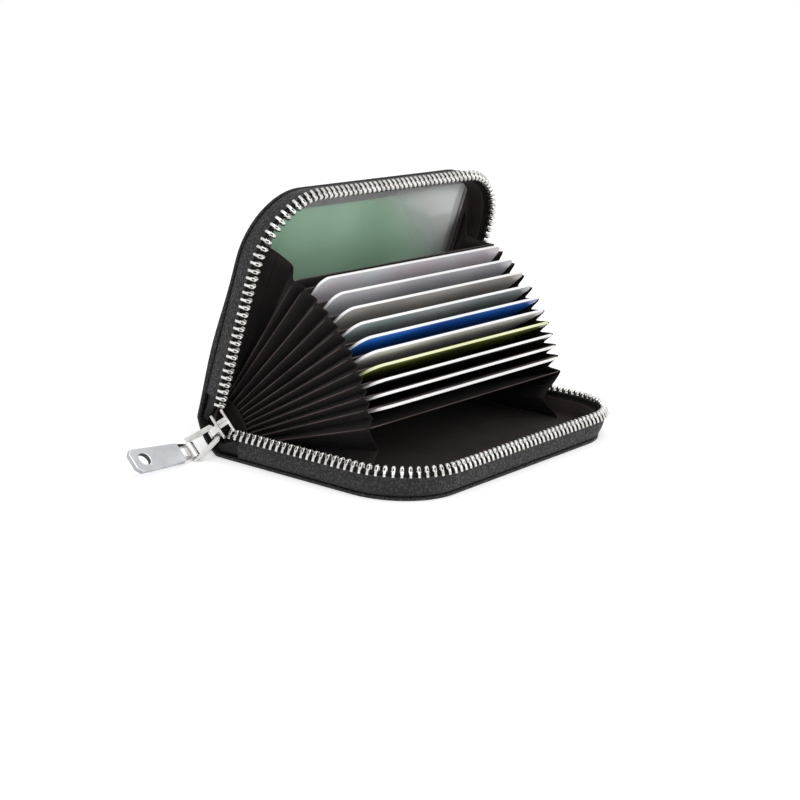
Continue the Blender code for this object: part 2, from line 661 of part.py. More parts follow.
def add_pull(materials, parent):
    """The tab's own frame has its origin on the link's outer bar and its length along +Y."""
    inner = PULL_INNER_WIDTH / 2
    outer = PULL_OUTER_WIDTH / 2
    start = EYE_SIZE / 2
    end = start + PULL_LENGTH
    outline = [(start, -inner), (end - PULL_CHAMFER, -outer), (end, -outer + PULL_CHAMFER),
               (end, outer - PULL_CHAMFER), (end - PULL_CHAMFER, outer), (start, inner)]
    half = PULL_THICKNESS / 2
    pull = add_object("pull_tab", prism(outline, -half, half, axis="x"), materials["nickel"], parent)
    eye = EYE_SIZE / 2
    block = [(-eye, -EYE_WIDTH / 2), (eye + UNION_SINK, -EYE_WIDTH / 2),
             (eye + UNION_SINK, EYE_WIDTH / 2), (-eye, EYE_WIDTH / 2)]
    combine(pull, prism(block, -eye, eye, axis="x"), "UNION", "guide_eye")
    gap = LINK_BAR / 2 + EYE_CLEARANCE
    width = EYE_WIDTH / 2 + CUT_OVERRUN
    combine(pull, box((-gap, gap), (-gap, gap), (-width, width)), "DIFFERENCE", "cut_eye")
    centre = end - PULL_HOLE_SETBACK
    hole = arc(centre, 0, PULL_HOLE_RADIUS, 0, 360, PULL_HOLE_SIDES)[:-1]
    drill = prism(hole, -half - CUT_OVERRUN, half + CUT_OVERRUN, axis="x")
    combine(pull, drill, "DIFFERENCE", "cut_pull_hole")


def add_bottom_stop(materials, parent):
    left = -COVER_WIDTH / 2 + WALL_INSET + BOTTOM_STOP_INSET
    outline = [(left, BOTTOM_STOP_SETBACK), (left + BOTTOM_STOP_WIDTH, BOTTOM_STOP_SETBACK),
               (left + BOTTOM_STOP_WIDTH, BOTTOM_STOP_SETBACK + STOP_LENGTH),
               (left, BOTTOM_STOP_SETBACK + STOP_LENGTH)]
    bm = prism(outline, -BOTTOM_STOP_HALF_HEIGHT, BOTTOM_STOP_HALF_HEIGHT)
    add_object("zip_bottom_stop", bm, materials["nickel"], parent)


# Assembly

def add_empty(name, location, rotation=(0, 0, 0), parent=None):
    empty = bpy.data.objects.new(name, None)
    bpy.context.scene.collection.objects.link(empty)
    empty.parent = parent
    empty.matrix_basis = Matrix.Translation(location) @ (
        Matrix.Rotation(rotation[0], 4, "X") @ Matrix.Rotation(rotation[2], 4, "Z"))
    return empty


def main():
    for obj in list(bpy.data.objects):
        bpy.data.objects.remove(obj, do_unlink=True)
    materials = make_materials()
    hinge = (0, HINGE_Y, HINGE_Z)

    lower_frame = add_empty("lower_half_frame", hinge)
    upper_frame = add_empty("upper_half_frame", hinge, (-OPEN_ANGLE, 0, 0))
    for half, frame in ((LOWER, lower_frame), (UPPER, upper_frame)):
        add_shell(half, materials, frame)
        add_side_wall(half, materials, frame)
        add_zip_half(half, materials, frame)
    add_window(materials, upper_frame)
    add_spine(materials, lower_frame)

    leaves = []
    for number, share in enumerate(FAN_SHARES):
        leaves.append(add_empty("leaf_%02d_frame" % (number + 1), hinge, (-share * OPEN_ANGLE, 0, 0)))
    add_dividers(materials, leaves)
    add_cards(materials, leaves)
    add_pleats(materials, lower_frame)

    zip_end = add_empty("zip_end_frame", hinge, (-OPEN_ANGLE / 2, 0, 0))
    add_bottom_stop(materials, zip_end)
    seat = (SLIDER_X, HINGE_Y - SLIDER_AHEAD, HINGE_Z)
    slider = add_empty("slider_frame", seat, (-SLIDER_ROLL, 0, -SLIDER_TWIST))
    add_slider(materials, slider)
    pivot = -(PLATE_SPACE / 2 + PLATE_THICKNESS + LINK_PIVOT_LIFT)
    link = add_empty("link_frame", (pivot, 0, 0), (0, 0, LINK_ANGLE), slider)
    add_link(materials, link)
    pull = add_empty("pull_frame", (0, LINK_LENGTH - LINK_BAR, 0), (0, 0, TAB_ANGLE), link)
    add_pull(materials, pull)


main()
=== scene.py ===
"""Looks of the zip-around leather card wallet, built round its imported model.

Lengths are metres. A half of the wallet, a divider or a card is drawn in the closed wallet, about the hinge
axis, and then turned by its own angle, as the solids are.
"""
import math

import bmesh
import bpy
from mathutils import Matrix, Vector


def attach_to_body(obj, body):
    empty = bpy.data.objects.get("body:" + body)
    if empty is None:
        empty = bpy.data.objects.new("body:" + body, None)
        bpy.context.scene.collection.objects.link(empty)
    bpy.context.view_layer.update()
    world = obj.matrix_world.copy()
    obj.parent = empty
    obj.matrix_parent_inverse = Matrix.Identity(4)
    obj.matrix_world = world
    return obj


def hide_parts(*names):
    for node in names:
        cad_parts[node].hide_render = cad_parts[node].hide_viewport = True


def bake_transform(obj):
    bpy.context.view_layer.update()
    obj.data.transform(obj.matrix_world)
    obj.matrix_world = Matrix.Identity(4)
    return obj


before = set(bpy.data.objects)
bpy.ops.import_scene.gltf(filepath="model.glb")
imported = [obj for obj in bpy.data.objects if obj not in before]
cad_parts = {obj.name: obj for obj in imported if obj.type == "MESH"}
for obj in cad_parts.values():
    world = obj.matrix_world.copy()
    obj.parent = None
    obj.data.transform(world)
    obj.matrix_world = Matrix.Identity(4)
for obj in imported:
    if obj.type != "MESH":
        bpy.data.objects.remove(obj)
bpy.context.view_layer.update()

MM = 0.001

# The wallet's own dimensions, most of them those of its solids. WALL_TOP, PLEAT_DEPTH, TAPE_THICKNESS and
# TOOTH_LENGTH differ from the solids' values by 0.05 to 0.2 mm. WALL_INSET is that of the wall's middle.
COVER_WIDTH = 107.0 * MM
COVER_DEPTH = 66.5 * MM
CORNER_RADIUS = 18.9 * MM
HALF_HEIGHT = 9.3 * MM
COVER_THICKNESS = 0.9 * MM
HINGE_SETBACK = 2.0 * MM
OPEN_ANGLE = math.radians(74.5)
HINGE = Vector((0, COVER_DEPTH / 2 - HINGE_SETBACK, HALF_HEIGHT))
FRONT = COVER_DEPTH - HINGE_SETBACK
LINING_DEPTH = 1.7 * MM
INNER_HEIGHT = HALF_HEIGHT - LINING_DEPTH

WALL_INSET = 0.6 * MM
WALL_THICKNESS = 0.8 * MM
WALL_FOOT = 8.3 * MM
WALL_TOP = 2.25 * MM
WALL_FLARE = 1.9 * MM
WALL_BULGE = 0.35 * MM
WALL_START = 6.5 * MM
WALL_END_RADIUS = 3.5 * MM
TAPE_THICKNESS = 0.35 * MM
TOOTH_PITCH = 2.1 * MM
TOOTH_LENGTH = 0.98 * MM
ROW_START = 8.6 * MM
ROW_OUTSET = 0.8 * MM
ROW_HEIGHT = 1.5 * MM
ROW_EXTRA = 2
TOOTH_LEAN = math.radians(16)

DIVIDER_HALF_WIDTH = 47.0 * MM
DIVIDER_MOUTH = 45.5 * MM
DIVIDER_BACK = 3.6 * MM
DIVIDER_THICKNESS = 0.15 * MM
FAN_SHARES = (0.775, 0.724, 0.655, 0.595, 0.541, 0.493, 0.449, 0.407, 0.366, 0.329, 0.293, 0.235)
PLEAT_DEPTH = 3.9 * MM
PLEAT_START = 2.2 * MM
CARD_LENGTH = 85.6 * MM
CARD_DEPTH = 53.98 * MM
CARD_THICKNESS = 0.76 * MM
CARD_CORNER = 3.18 * MM
CARD_BACK = 4.7 * MM
CARD_GAP = 0.04 * MM
EMPTY_POCKET_GAP = 0.3 * MM
WINDOW_THICKNESS = 0.15 * MM
WINDOW_GAP = 0.05 * MM
ID_CARD_THICKNESS = 0.45 * MM
GLUE_GAP = 0.1 * MM
PLEAT_GAP = 0.15 * MM
CLOTH_THICKNESS = 0.15 * MM
HAIR = 0.01 * MM
WELD = 0.0005 * MM

SLIDER_SEAT = Vector((-53.7 * MM, HINGE.y - 1.4 * MM, HINGE.z))
SLIDER_ROLL = math.radians(46)
SLIDER_TWIST = math.radians(50)
PLATE_HALF_SPACE = 1.2 * MM
PLATE_THICKNESS = 0.8 * MM
LINK_PIVOT = 3.4 * MM
LINK_ANGLE = math.radians(87)
LINK_LENGTH = 9.0 * MM
LINK_BAR = 1.2 * MM
LINK_SAG = 0.6 * MM
TAB_LENGTH = 24.0 * MM
TAB_ANGLE = math.radians(58)

LOWER, UPPER = -1, 1
NAMES = {LOWER: "lower", UPPER: "upper"}
BODIES = {LOWER: "lower_half", UPPER: "upper_half"}
TURNS = {LOWER: 0.0, UPPER: OPEN_ANGLE}


# Colours and materials

def colour(hex_value):
    """An sRGB hex value as the linear colour that a shader takes."""
    parts = [int(hex_value[i:i + 2], 16) / 255 for i in (0, 2, 4)]
    linear = [p / 12.92 if p <= 0.04045 else ((p + 0.055) / 1.055) ** 2.4 for p in parts]
    return (*linear, 1.0)


def fill(tree, made, inputs):
    """Fills a node's inputs: a socket of another node is linked, anything else is a plain value."""
    for name, value in inputs.items():
        if isinstance(value, bpy.types.NodeSocket):
            tree.links.new(value, made.inputs[name])
        else:
            made.inputs[name].default_value = value


def node(tree, kind, settings=None, inputs=None):
    made = tree.nodes.new(kind)
    for name, value in (settings or {}).items():
        setattr(made, name, value)
    fill(tree, made, inputs or {})
    return made


def new_material(name):
    material = bpy.data.materials.new(name)
    material.use_nodes = True
    tree = material.node_tree
    return material, tree, tree.nodes["Principled BSDF"], node(tree, "ShaderNodeTexCoord")


def ramp(tree, factor, stops):
    made = node(tree, "ShaderNodeValToRGB", inputs={"Fac": factor})
    while len(made.color_ramp.elements) < len(stops):
        made.color_ramp.elements.new(0.5)
    for element, (place, value) in zip(made.color_ramp.elements, stops):
        element.position = place
        element.color = colour(value)
    return made.outputs["Color"]


def noise(tree, coords, size, detail, more=None):
    """Cloudy noise with lumps of the given size."""
    return node(tree, "ShaderNodeTexNoise", inputs={
        "Vector": coords.outputs["Object"], "Scale": 1 / size, "Detail": detail, **(more or {})}).outputs


def multiply_add(tree, value, factor, added):
    made = node(tree, "ShaderNodeMath", {"operation": "MULTIPLY_ADD"}, {0: value, 1: factor, 2: added})
    return made.outputs["Value"]


def map_range(tree, value, start, end, shape="LINEAR"):
    """Maps the first range of values to the second."""
    made = node(tree, "ShaderNodeMapRange", {"interpolation_type": shape}, {
        "Value": value, "From Min": start[0], "From Max": start[1], "To Min": end[0], "To Max": end[1]})
    return made.outputs["Result"]


def bump(tree, height, strength, distance, invert=False):
    made = node(tree, "ShaderNodeBump", {"invert": invert}, {
        "Height": height, "Strength": strength, "Distance": distance})
    return made.outputs["Normal"]


def grained_leather(name, dark, light, grain, strength):
    """Drum-tumbled cowhide with a finish coat: round pebbles with fine creases, shinier on top. The pebbles'
    middles are painted lighter and the creases darker, as a painted highlight and painted shade.
    """
    material, tree, shader, coords = new_material(name)
    wobble = noise(tree, coords, 2.2 * grain, 2.0)
    shifted = node(tree, "ShaderNodeVectorMath", {"operation": "MULTIPLY_ADD"}, {
        0: wobble["Color"], 1: (0.7 * grain,) * 3, 2: coords.outputs["Object"]})
    pebbles = node(tree, "ShaderNodeTexVoronoi", {"feature": "SMOOTH_F1"}, {
        "Vector": shifted.outputs["Vector"], "Scale": 1 / grain, "Smoothness": 0.15, "Randomness": 1.0})
    distance = pebbles.outputs["Distance"]
    height = multiply_add(tree, noise(tree, coords, grain / 5, 3.0)["Fac"], -0.25, distance)
    fill(tree, shader, {
        # Base colour: lighter at each pebble's middle, darker in the creases, a painted highlight and painted
        # shade
        "Base Color": ramp(tree, distance, ((0.1, light), (0.5, dark))),
        "Roughness": map_range(tree, distance, (0.1, 0.6), (0.34, 0.75)),
        "Normal": bump(tree, height, strength, 0.6 * grain, invert=True),
        "IOR": 1.5})
    return material


def smooth_leather(name, dark, light):
    """Calf leather with a plated, almost flat surface: fine pores and a soft shine."""
    material, tree, shader, coords = new_material(name)
    clouds = noise(tree, coords, 6 * MM, 2.0)["Fac"]
    fill(tree, shader, {
        "Base Color": ramp(tree, clouds, ((0.3, dark), (0.7, light))),
        "Normal": bump(tree, noise(tree, coords, 0.25 * MM, 4.0)["Fac"], 0.15, 0.05 * MM),
        "Roughness": 0.36,
        "Specular IOR Level": 0.14})
    return material


def woven_fabric(name, dark, light, thread, strength, uv=False):
    """Plain-woven nylon: crossing threads give a fine chequer, and the filaments a faint sheen."""
    material, tree, shader, coords = new_material(name)
    source = coords.outputs["UV" if uv else "Object"]
    turned = node(tree, "ShaderNodeMapping", inputs={"Vector": source, "Scale": (1 / thread,) * 3})
    waves = [node(tree, "ShaderNodeTexWave", {"bands_direction": direction}, {
        "Vector": turned.outputs["Vector"], "Scale": 0.5, "Distortion": 0.6, "Detail": 1.0}).outputs["Fac"]
        for direction in ("XY" if uv else "XZ")]
    crossing = node(tree, "ShaderNodeMath", {"operation": "MULTIPLY"}, {0: waves[0], 1: waves[1]})
    weave = crossing.outputs["Value"]
    shade = multiply_add(tree, weave, 0.5, noise(tree, coords, 9 * MM, 3.0)["Fac"])
    fill(tree, shader, {
        "Base Color": ramp(tree, shade, ((0.35, dark), (0.95, light))),
        "Normal": bump(tree, weave, strength, 0.25 * thread),
        "Roughness": 0.8,
        "Specular IOR Level": 0.3,
        "Sheen Weight": 0.04,
        "Sheen Roughness": 0.4})
    return material


def plated_metal(name, base, worn, roughness, scratch, metallic=1.0, scuffing=1.0):
    """Nickel over brass, barrel polished: bright and slightly warm, with fine scuffs in every direction."""
    material, tree, shader, coords = new_material(name)
    scuffs = noise(tree, coords, scratch, 5.0, {"Roughness": 0.65})["Fac"]
    worn_to = ((1 - 0.3 * scuffing) * roughness, (1 + 0.5 * scuffing) * roughness)
    fill(tree, shader, {
        "Base Color": ramp(tree, noise(tree, coords, 4 * MM, 2.0)["Fac"], ((0.3, worn), (0.6, base))),
        "Roughness": map_range(tree, scuffs, (0.3, 0.7), worn_to),
        "Normal": bump(tree, scuffs, 0.08 * scuffing, 0.02 * MM),
        "Metallic": metallic})
    return material


def card_plastic(name, base, shade, roughness=0.32):
    """Laminated PVC: even colour with a soft print gradient, satin from handling."""
    material, tree, shader, coords = new_material(name)
    fill(tree, shader, {
        "Base Color": ramp(tree, noise(tree, coords, 30 * MM, 1.0)["Fac"], ((0.35, shade), (0.65, base))),
        "Normal": bump(tree, noise(tree, coords, 0.4 * MM, 3.0)["Fac"], 0.06, 0.02 * MM),
        "Roughness": roughness,
        "IOR": 1.53})
    return material


def clear_film(name):
    """Soft clear PVC film: almost invisible, seen by its gloss, a faint milky tint, and a painted reflection
    that makes it whiter towards one corner.
    """
    material, tree, shader, coords = new_material(name)
    painted_reflection_ramp = node(tree, "ShaderNodeVectorMath", {"operation": "DOT_PRODUCT"}, {
        0: coords.outputs["Object"], 1: (0.6, 0.0, 0.8)}).outputs["Value"]
    fill(tree, shader, {
        "Base Color": colour("e8ecea"),
        # Alpha: faintly milky all over, then rising towards one corner as a painted reflection
        "Alpha": map_range(tree, painted_reflection_ramp, (50 * MM, 78 * MM), (0.1, 0.85), "SMOOTHSTEP"),
        "Normal": bump(tree, noise(tree, coords, 14 * MM, 1.0)["Fac"], 0.3, 0.4 * MM),
        "Roughness": 0.12,
        "IOR": 1.52})
    return material


def fibre_board(name):
    """Recycled grey board: matte, with short fibres and darker specks."""
    material, tree, shader, coords = new_material(name)
    fibres = noise(tree, coords, 0.6 * MM, 5.0)["Fac"]
    fill(tree, shader, {
        "Base Color": ramp(tree, fibres, ((0.35, "6f6a62"), (0.65, "8f8a80"))),
        "Roughness": 0.9})
    return material


MATERIALS = {
    # The leather's lighter colour is the painted highlight on its pebbles, and the darker one the painted
    # shade in its creases
    "leather": grained_leather("tumbled_black_cowhide", "020203", "303034", 0.72 * MM, 1.0),
    "smooth": smooth_leather("plated_black_calf", "030304", "070709"),
    "lining": woven_fabric("dark_brown_nylon_lining", "15100e", "2f2320", 0.3 * MM, 0.25, uv=True),
    # Pleats: the lining's cloth in darker colours, painted shade for the inside of the pockets
    "pleat": woven_fabric("dark_brown_nylon_pleats", "0a0707", "1a1211", 0.3 * MM, 0.25, uv=True),
    # Fold edges: the pleat cloth in much lighter colours, a painted highlight on each crest
    "hem": woven_fabric("brown_nylon_fold_edge_painted_highlight", "382d2b", "66554f", 0.4 * MM, 0.3, uv=True),
    "tape": woven_fabric("black_polyester_zip_tape", "0b0b0c", "19191b", 0.5 * MM, 0.6, uv=True),
    "thread": woven_fabric("black_bonded_thread", "121213", "242427", 0.15 * MM, 0.5),
    "nickel": plated_metal("polished_nickel_plate", "dedddb", "bcbab7", 0.14, 0.5 * MM),
    "teeth": plated_metal("tumbled_nickel_teeth", "dddcd9", "c2c0bc", 0.2, 0.3 * MM),
    "film": clear_film("clear_pvc_film"),
    "vinyl": card_plastic("welded_grey_vinyl_edge", "8a8587", "6f6a6c", 0.3),
    # Tab plate: nickel faces made near-white and only partly metallic as a painted reflection of a bright
    # softbox; its sides a darker copy, painted shade
    "satin": plated_metal("satin_nickel_face_painted_reflection", "f2f4f8", "e6e9ef", 0.3, 1.2 * MM, 0.35, 0.1),
    "edge": plated_metal("satin_nickel_edge_painted_shade", "b7bac0", "a3a6ac", 0.3, 1.2 * MM, 0.5, 0.1),
    # Nickel painted dark: painted shade in the teeth's cups and fronts and on the wall of the tab's hole
    "recess_shade": plated_metal("nickel_recess_painted_shade", "5c5b59", "403f3e", 0.45, 0.3 * MM),
    "board": fibre_board("grey_fibre_board"),
    "card": card_plastic("white_pvc_card", "f4f4f2", "ebebea"),
    "yellow_card": card_plastic("pale_yellow_pvc_card", "edf0c4", "dfe4a6"),
    "green_card": card_plastic("pale_green_pvc_card", "a2cfae", "7db48c"),
}
# Colours of each card's lower face. The last three, near black, are painted shade for undersides that lie in
# shadow.
CARD_FACES = (
    ("d9dfe6", "d8cdd6"), ("c9c6cb", "b6b6bd"), ("9d9792", "b5afaa"), ("8d9a9e", "a7aeb0"),
    ("2274d6", "1a5cb8"), ("e9e7ec", "d4d0d6"), ("767f2c", "4a5220"), ("2b2b2e", "1d1d20"),
    ("1f1f22", "2b2b2e"), ("29292c", "1c1c1f"),
)


# Mesh tools

def smooth(t):
    return t * t * (3 - 2 * t)


def lattice(columns, rows, place, size):
    """A sheet of columns by rows, placed by each point's shares across and along, with a UV map in metres."""
    bm = bmesh.new()
    bmesh.ops.create_grid(bm, x_segments=columns, y_segments=rows, size=1)
    shares = {vert: (vert.co.x / 2 + 0.5, vert.co.y / 2 + 0.5) for vert in bm.verts}
    chart = bm.loops.layers.uv.new("surface")
    for face in bm.faces:
        for loop in face.loops:
            across, along = shares[loop.vert]
            loop[chart].uv = (across * size[0], along * size[1])
    for vert, (across, along) in shares.items():
        vert.co = place(across, along)
    return bm


def sweep(stations, profile, size):
    """A closed profile carried through stations, which place offsets and heights. Its ends are closed."""
    count = len(profile)

    def place(across, along):
        offset, height = profile[round(along * count) % count]
        return stations[round(across * (len(stations) - 1))](offset, height)

    bm = lattice(len(stations) - 1, count, place, size)
    bmesh.ops.remove_doubles(bm, verts=bm.verts, dist=WELD)
    bmesh.ops.holes_fill(bm, edges=bm.edges, sides=0)
    return bm


def slab(outline, low, high):
    """A flat shape with the given outline, between two heights."""
    bm = bmesh.new()
    face = bm.faces.new([bm.verts.new((x, y, low)) for x, y in outline])
    made = bmesh.ops.extrude_face_region(bm, geom=[face])
    top = [item for item in made["geom"] if isinstance(item, bmesh.types.BMVert)]
    bmesh.ops.translate(bm, verts=top, vec=(0, 0, high - low))
    bmesh.ops.recalc_face_normals(bm, faces=bm.faces)
    return bm


def bevel(bm, edges, width, segments):
    return bmesh.ops.bevel(bm, geom=edges, offset=width, offset_type="OFFSET", affect="EDGES",
                           segments=segments, profile=0.5, material=-1, clamp_overlap=True)


def level_edges(bm, tolerance):
    """The edges round a slab's top and bottom."""
    return [e for e in bm.edges if abs(e.verts[0].co.z - e.verts[1].co.z) < tolerance]


def arc(x, y, radius, first, steps):
    """A quarter circle about a centre, from a direction in degrees."""
    turns = [math.radians(first + 90 * step / steps) for step in range(steps + 1)]
    return [(x + radius * math.cos(turn), y + radius * math.sin(turn)) for turn in turns]


def in_mm(points):
    return [(x * MM, y * MM) for x, y in points]


def oval(centre, along, across, sides, turned=0.0):
    """Points round an oval whose middle lies on the first axis."""
    turns = [2 * math.pi * (step + turned) / sides for step in range(sides)]
    return [(centre + along * math.cos(turn), across * math.sin(turn)) for turn in turns]


def mirrored(points):
    """An outline's one side and, on the way back, its mirror image."""
    return points + [(y, -z) for y, z in reversed(points)]


def sharp_edges(bm, least):
    """The edges at which the faces turn by more than an angle in degrees."""
    return [e for e in bm.edges if len(e.link_faces) == 2 and e.calc_face_angle(0) > math.radians(least)]


def open_by(bm, angle):
    """Turns a shape of the closed wallet about the hinge axis and puts it in its place."""
    bmesh.ops.rotate(bm, verts=bm.verts, cent=(0, 0, 0), matrix=Matrix.Rotation(-angle, 3, "X"))
    bmesh.ops.translate(bm, verts=bm.verts, vec=HINGE)
    return bm


def opened(y, z, angle):
    """Where a point of the closed wallet, given from the hinge axis, lies once turned by the angle."""
    cosine, sine = math.cos(angle), math.sin(angle)
    return HINGE.y + y * cosine + z * sine, HINGE.z + z * cosine - y * sine


# The spine's inner line, from the lower cover to the upper one
SPINE_LOW = Vector((0, *opened(HINGE_SETBACK, -HALF_HEIGHT, 0)))
SPINE_HIGH = Vector((0, *opened(HINGE_SETBACK, HALF_HEIGHT, OPEN_ANGLE)))
SPINE_REACH = math.hypot(HINGE_SETBACK, HALF_HEIGHT)
SPINE_START = math.atan2(HALF_HEIGHT, HINGE_SETBACK)
SPINE_SPAN = 2 * SPINE_START - OPEN_ANGLE


def piece(name, bm, material, outward=True, soft_angle=35):
    """Makes an object of the mesh, at the origin, with its own material."""
    if outward:
        bmesh.ops.recalc_face_normals(bm, faces=bm.faces)
    mesh = bpy.data.meshes.new(name)
    bm.to_mesh(mesh)
    bm.free()
    for one in material if isinstance(material, (list, tuple)) else [material]:
        mesh.materials.append(MATERIALS[one] if isinstance(one, str) else one)
    if soft_angle is not None:
        mesh.shade_smooth()
        mesh.set_sharp_from_angle(angle=math.radians(soft_angle))
    made = bpy.data.objects.new(name, mesh)
    bpy.context.scene.collection.objects.link(made)
    return made


def thicken(made, thickness=CLOTH_THICKNESS):
    modifier = made.modifiers.new("thickness", "SOLIDIFY")
    modifier.thickness = thickness
    modifier.offset = 0.0
    modifier.use_even_offset = True
    return made


def attach(made, body, slot, *nodes):
    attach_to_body(made, body)
    if nodes:
        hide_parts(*nodes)
    return made


def across_hinge(made, slot, start, end, *nodes):
    """A piece drawn across the hinge, from the lower half to the upper half, left where it is drawn."""
    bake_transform(made)
    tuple(start)
    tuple(end)
    if nodes:
        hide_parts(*nodes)
    return made


# The rim of a half: three sides of the cover's outline, from the spine end of the -X side

SIDE = FRONT - CORNER_RADIUS
CORNER = math.pi / 2 * CORNER_RADIUS
BROW = COVER_WIDTH - 2 * CORNER_RADIUS
RIM_LENGTH = 2 * SIDE + 2 * CORNER + BROW
RIM_STEP = 1.5 * MM


def rim(distance):
    """A point of the cover's outline and its outward direction, by the distance from the hinge axis."""
    left, corner_x = -COVER_WIDTH / 2, COVER_WIDTH / 2 - CORNER_RADIUS
    if distance < SIDE:
        return Vector((left, -distance, 0)), Vector((-1, 0, 0))
    distance -= SIDE
    for centre_x, first, length in ((-corner_x, math.pi, BROW), (corner_x, 1.5 * math.pi, None)):
        if distance < CORNER:
            angle = first + distance / CORNER_RADIUS
            out = Vector((math.cos(angle), math.sin(angle), 0))
            return Vector((centre_x, -SIDE, 0)) + out * CORNER_RADIUS, out
        distance -= CORNER
        if length is None:
            break
        if distance < length:
            return Vector((-corner_x + distance, -FRONT, 0)), Vector((0, -1, 0))
        distance -= length
    return Vector((-left, distance - SIDE, 0)), Vector((1, 0, 0))


def rim_stations(half, start, finish, step=RIM_STEP, bend=None):
    """Places along the rim: each takes a distance outwards and a height from the parting plane."""
    count = max(2, round((finish - start) / step))
    stations = []
    for number in range(count + 1):
        distance = start + (finish - start) * number / count
        point, out = rim(distance)

        def station(offset, height, point=point, out=out, distance=distance):
            if bend:
                offset, height = bend(offset, height, distance)
            return point + out * offset + Vector((0, 0, half * height))

        stations.append(station)
    return stations


def flare(height):
    return WALL_FLARE * (WALL_FOOT - abs(height)) / (WALL_FOOT - WALL_TOP)


# Outer leather: both covers and the spine are one hide, turned in at its edges

SPINE_NECK = 0.1 * MM
SPINE_FLATNESS_SHARE = 0.45
SPINE_PINCH = 9.0 * MM
BOW_STEPS = [step * 3.0 * MM for step in range(13, 0, -1)]
BOW_LENGTH = 40.0 * MM
BOW_HEIGHT = 0.9 * MM
EDGE_ROUND = 0.36 * MM
SEAM_GAP = 0.02 * MM
CORNER_STEPS = 12
SPINE_STEPS = 20


def cover_outline():
    side = COVER_WIDTH / 2
    points = []
    for centre_x, first in ((-side + CORNER_RADIUS, 180), (side - CORNER_RADIUS, 270)):
        points += arc(centre_x, -SIDE, CORNER_RADIUS, first, CORNER_STEPS)
    spine_side = side - SPINE_NECK
    points += [(side, -y) for y in BOW_STEPS] + [(side - SPINE_NECK / 3, 0)]
    shares = [step / SPINE_STEPS for step in range(SPINE_STEPS + 1)]
    points += [(spine_side - 2 * spine_side * share, HINGE_SETBACK) for share in shares]
    points += [(-side + SPINE_NECK / 3, 0)] + [(-side, -y) for y in reversed(BOW_STEPS)]
    return points


def bow(y):
    """The upper cover's leather bows out a little before it bends into the spine."""
    share = (y + BOW_LENGTH) / (BOW_LENGTH + HINGE_SETBACK)
    return BOW_HEIGHT * math.sin(math.pi * min(1, max(0, share))) ** 2


def cover_plate(half):
    """One cover as an open box: the wall at the spine is left out, and its edges point at the hinge axis."""
    bm = slab(cover_outline(), HALF_HEIGHT - COVER_THICKNESS, HALF_HEIGHT)
    limit = HINGE_SETBACK - HAIR
    rear = [f for f in bm.faces if all(v.co.y > limit for v in f.verts)]
    bmesh.ops.delete(bm, geom=rear, context="FACES_ONLY")
    for vert in bm.verts:
        if vert.co.y > limit:
            vert.co.y = HINGE_SETBACK * vert.co.z / HALF_HEIGHT
    bevel(bm, [e for e in level_edges(bm, HAIR) if len(e.link_faces) == 2], EDGE_ROUND, 3)
    if half == LOWER:
        bmesh.ops.scale(bm, verts=bm.verts, vec=(1, 1, -1))
    else:
        for vert in bm.verts:
            outside = (vert.co.z - HALF_HEIGHT + COVER_THICKNESS) / COVER_THICKNESS
            vert.co.z += bow(vert.co.y) * outside
    return open_by(bm, TURNS[half])


def add_outer_leather():
    bm = cover_plate(LOWER)
    upper = cover_plate(UPPER)
    mesh = bpy.data.meshes.new("upper_cover_form")
    upper.to_mesh(mesh)
    upper.free()
    loop = [e for e in bm.edges if len(e.link_faces) == 1]
    before = set(bm.verts)
    bmesh.ops.spin(bm, geom=loop + list({v for e in loop for v in e.verts}), cent=HINGE, axis=(1, 0, 0),
                   angle=SPINE_SPAN, steps=18, use_duplicate=False)
    middle = SPINE_SPAN / 2 - SPINE_START
    for vert in set(bm.verts) - before:
        arm = Vector((vert.co.y - HINGE.y, vert.co.z - HINGE.z))
        turn = math.atan2(arm.y, arm.x)
        chord = arm.length * math.cos(SPINE_SPAN / 2) / math.cos(turn - middle)
        reach = (abs(vert.co.x) - (COVER_WIDTH / 2 - SPINE_NECK - SPINE_PINCH)) / SPINE_PINCH
        flat = SPINE_FLATNESS_SHARE * smooth(min(1, max(0, reach)))
        length = arm.length + (chord - arm.length) * flat
        vert.co.y = HINGE.y + length * math.cos(turn)
        vert.co.z = HINGE.z + length * math.sin(turn)
    bm.from_mesh(mesh)
    bpy.data.meshes.remove(mesh)
    bmesh.ops.remove_doubles(bm, verts=bm.verts, dist=SEAM_GAP)
    across_hinge(piece("outer_leather", bm, "leather"), "black_grained_leather", SPINE_LOW, SPINE_HIGH,
                 "lower_cover", "upper_cover", "spine_panel")


STITCH_INSET = 4.6 * MM
STITCH_PITCH = 2.9 * MM
STITCH_LENGTH = 2.1 * MM
STITCH_RADIUS = 0.24 * MM
STITCH_FLATNESS_SHARE = 0.6
STITCH_SINK = 0.1 * MM
STITCH_END = 2.0 * MM


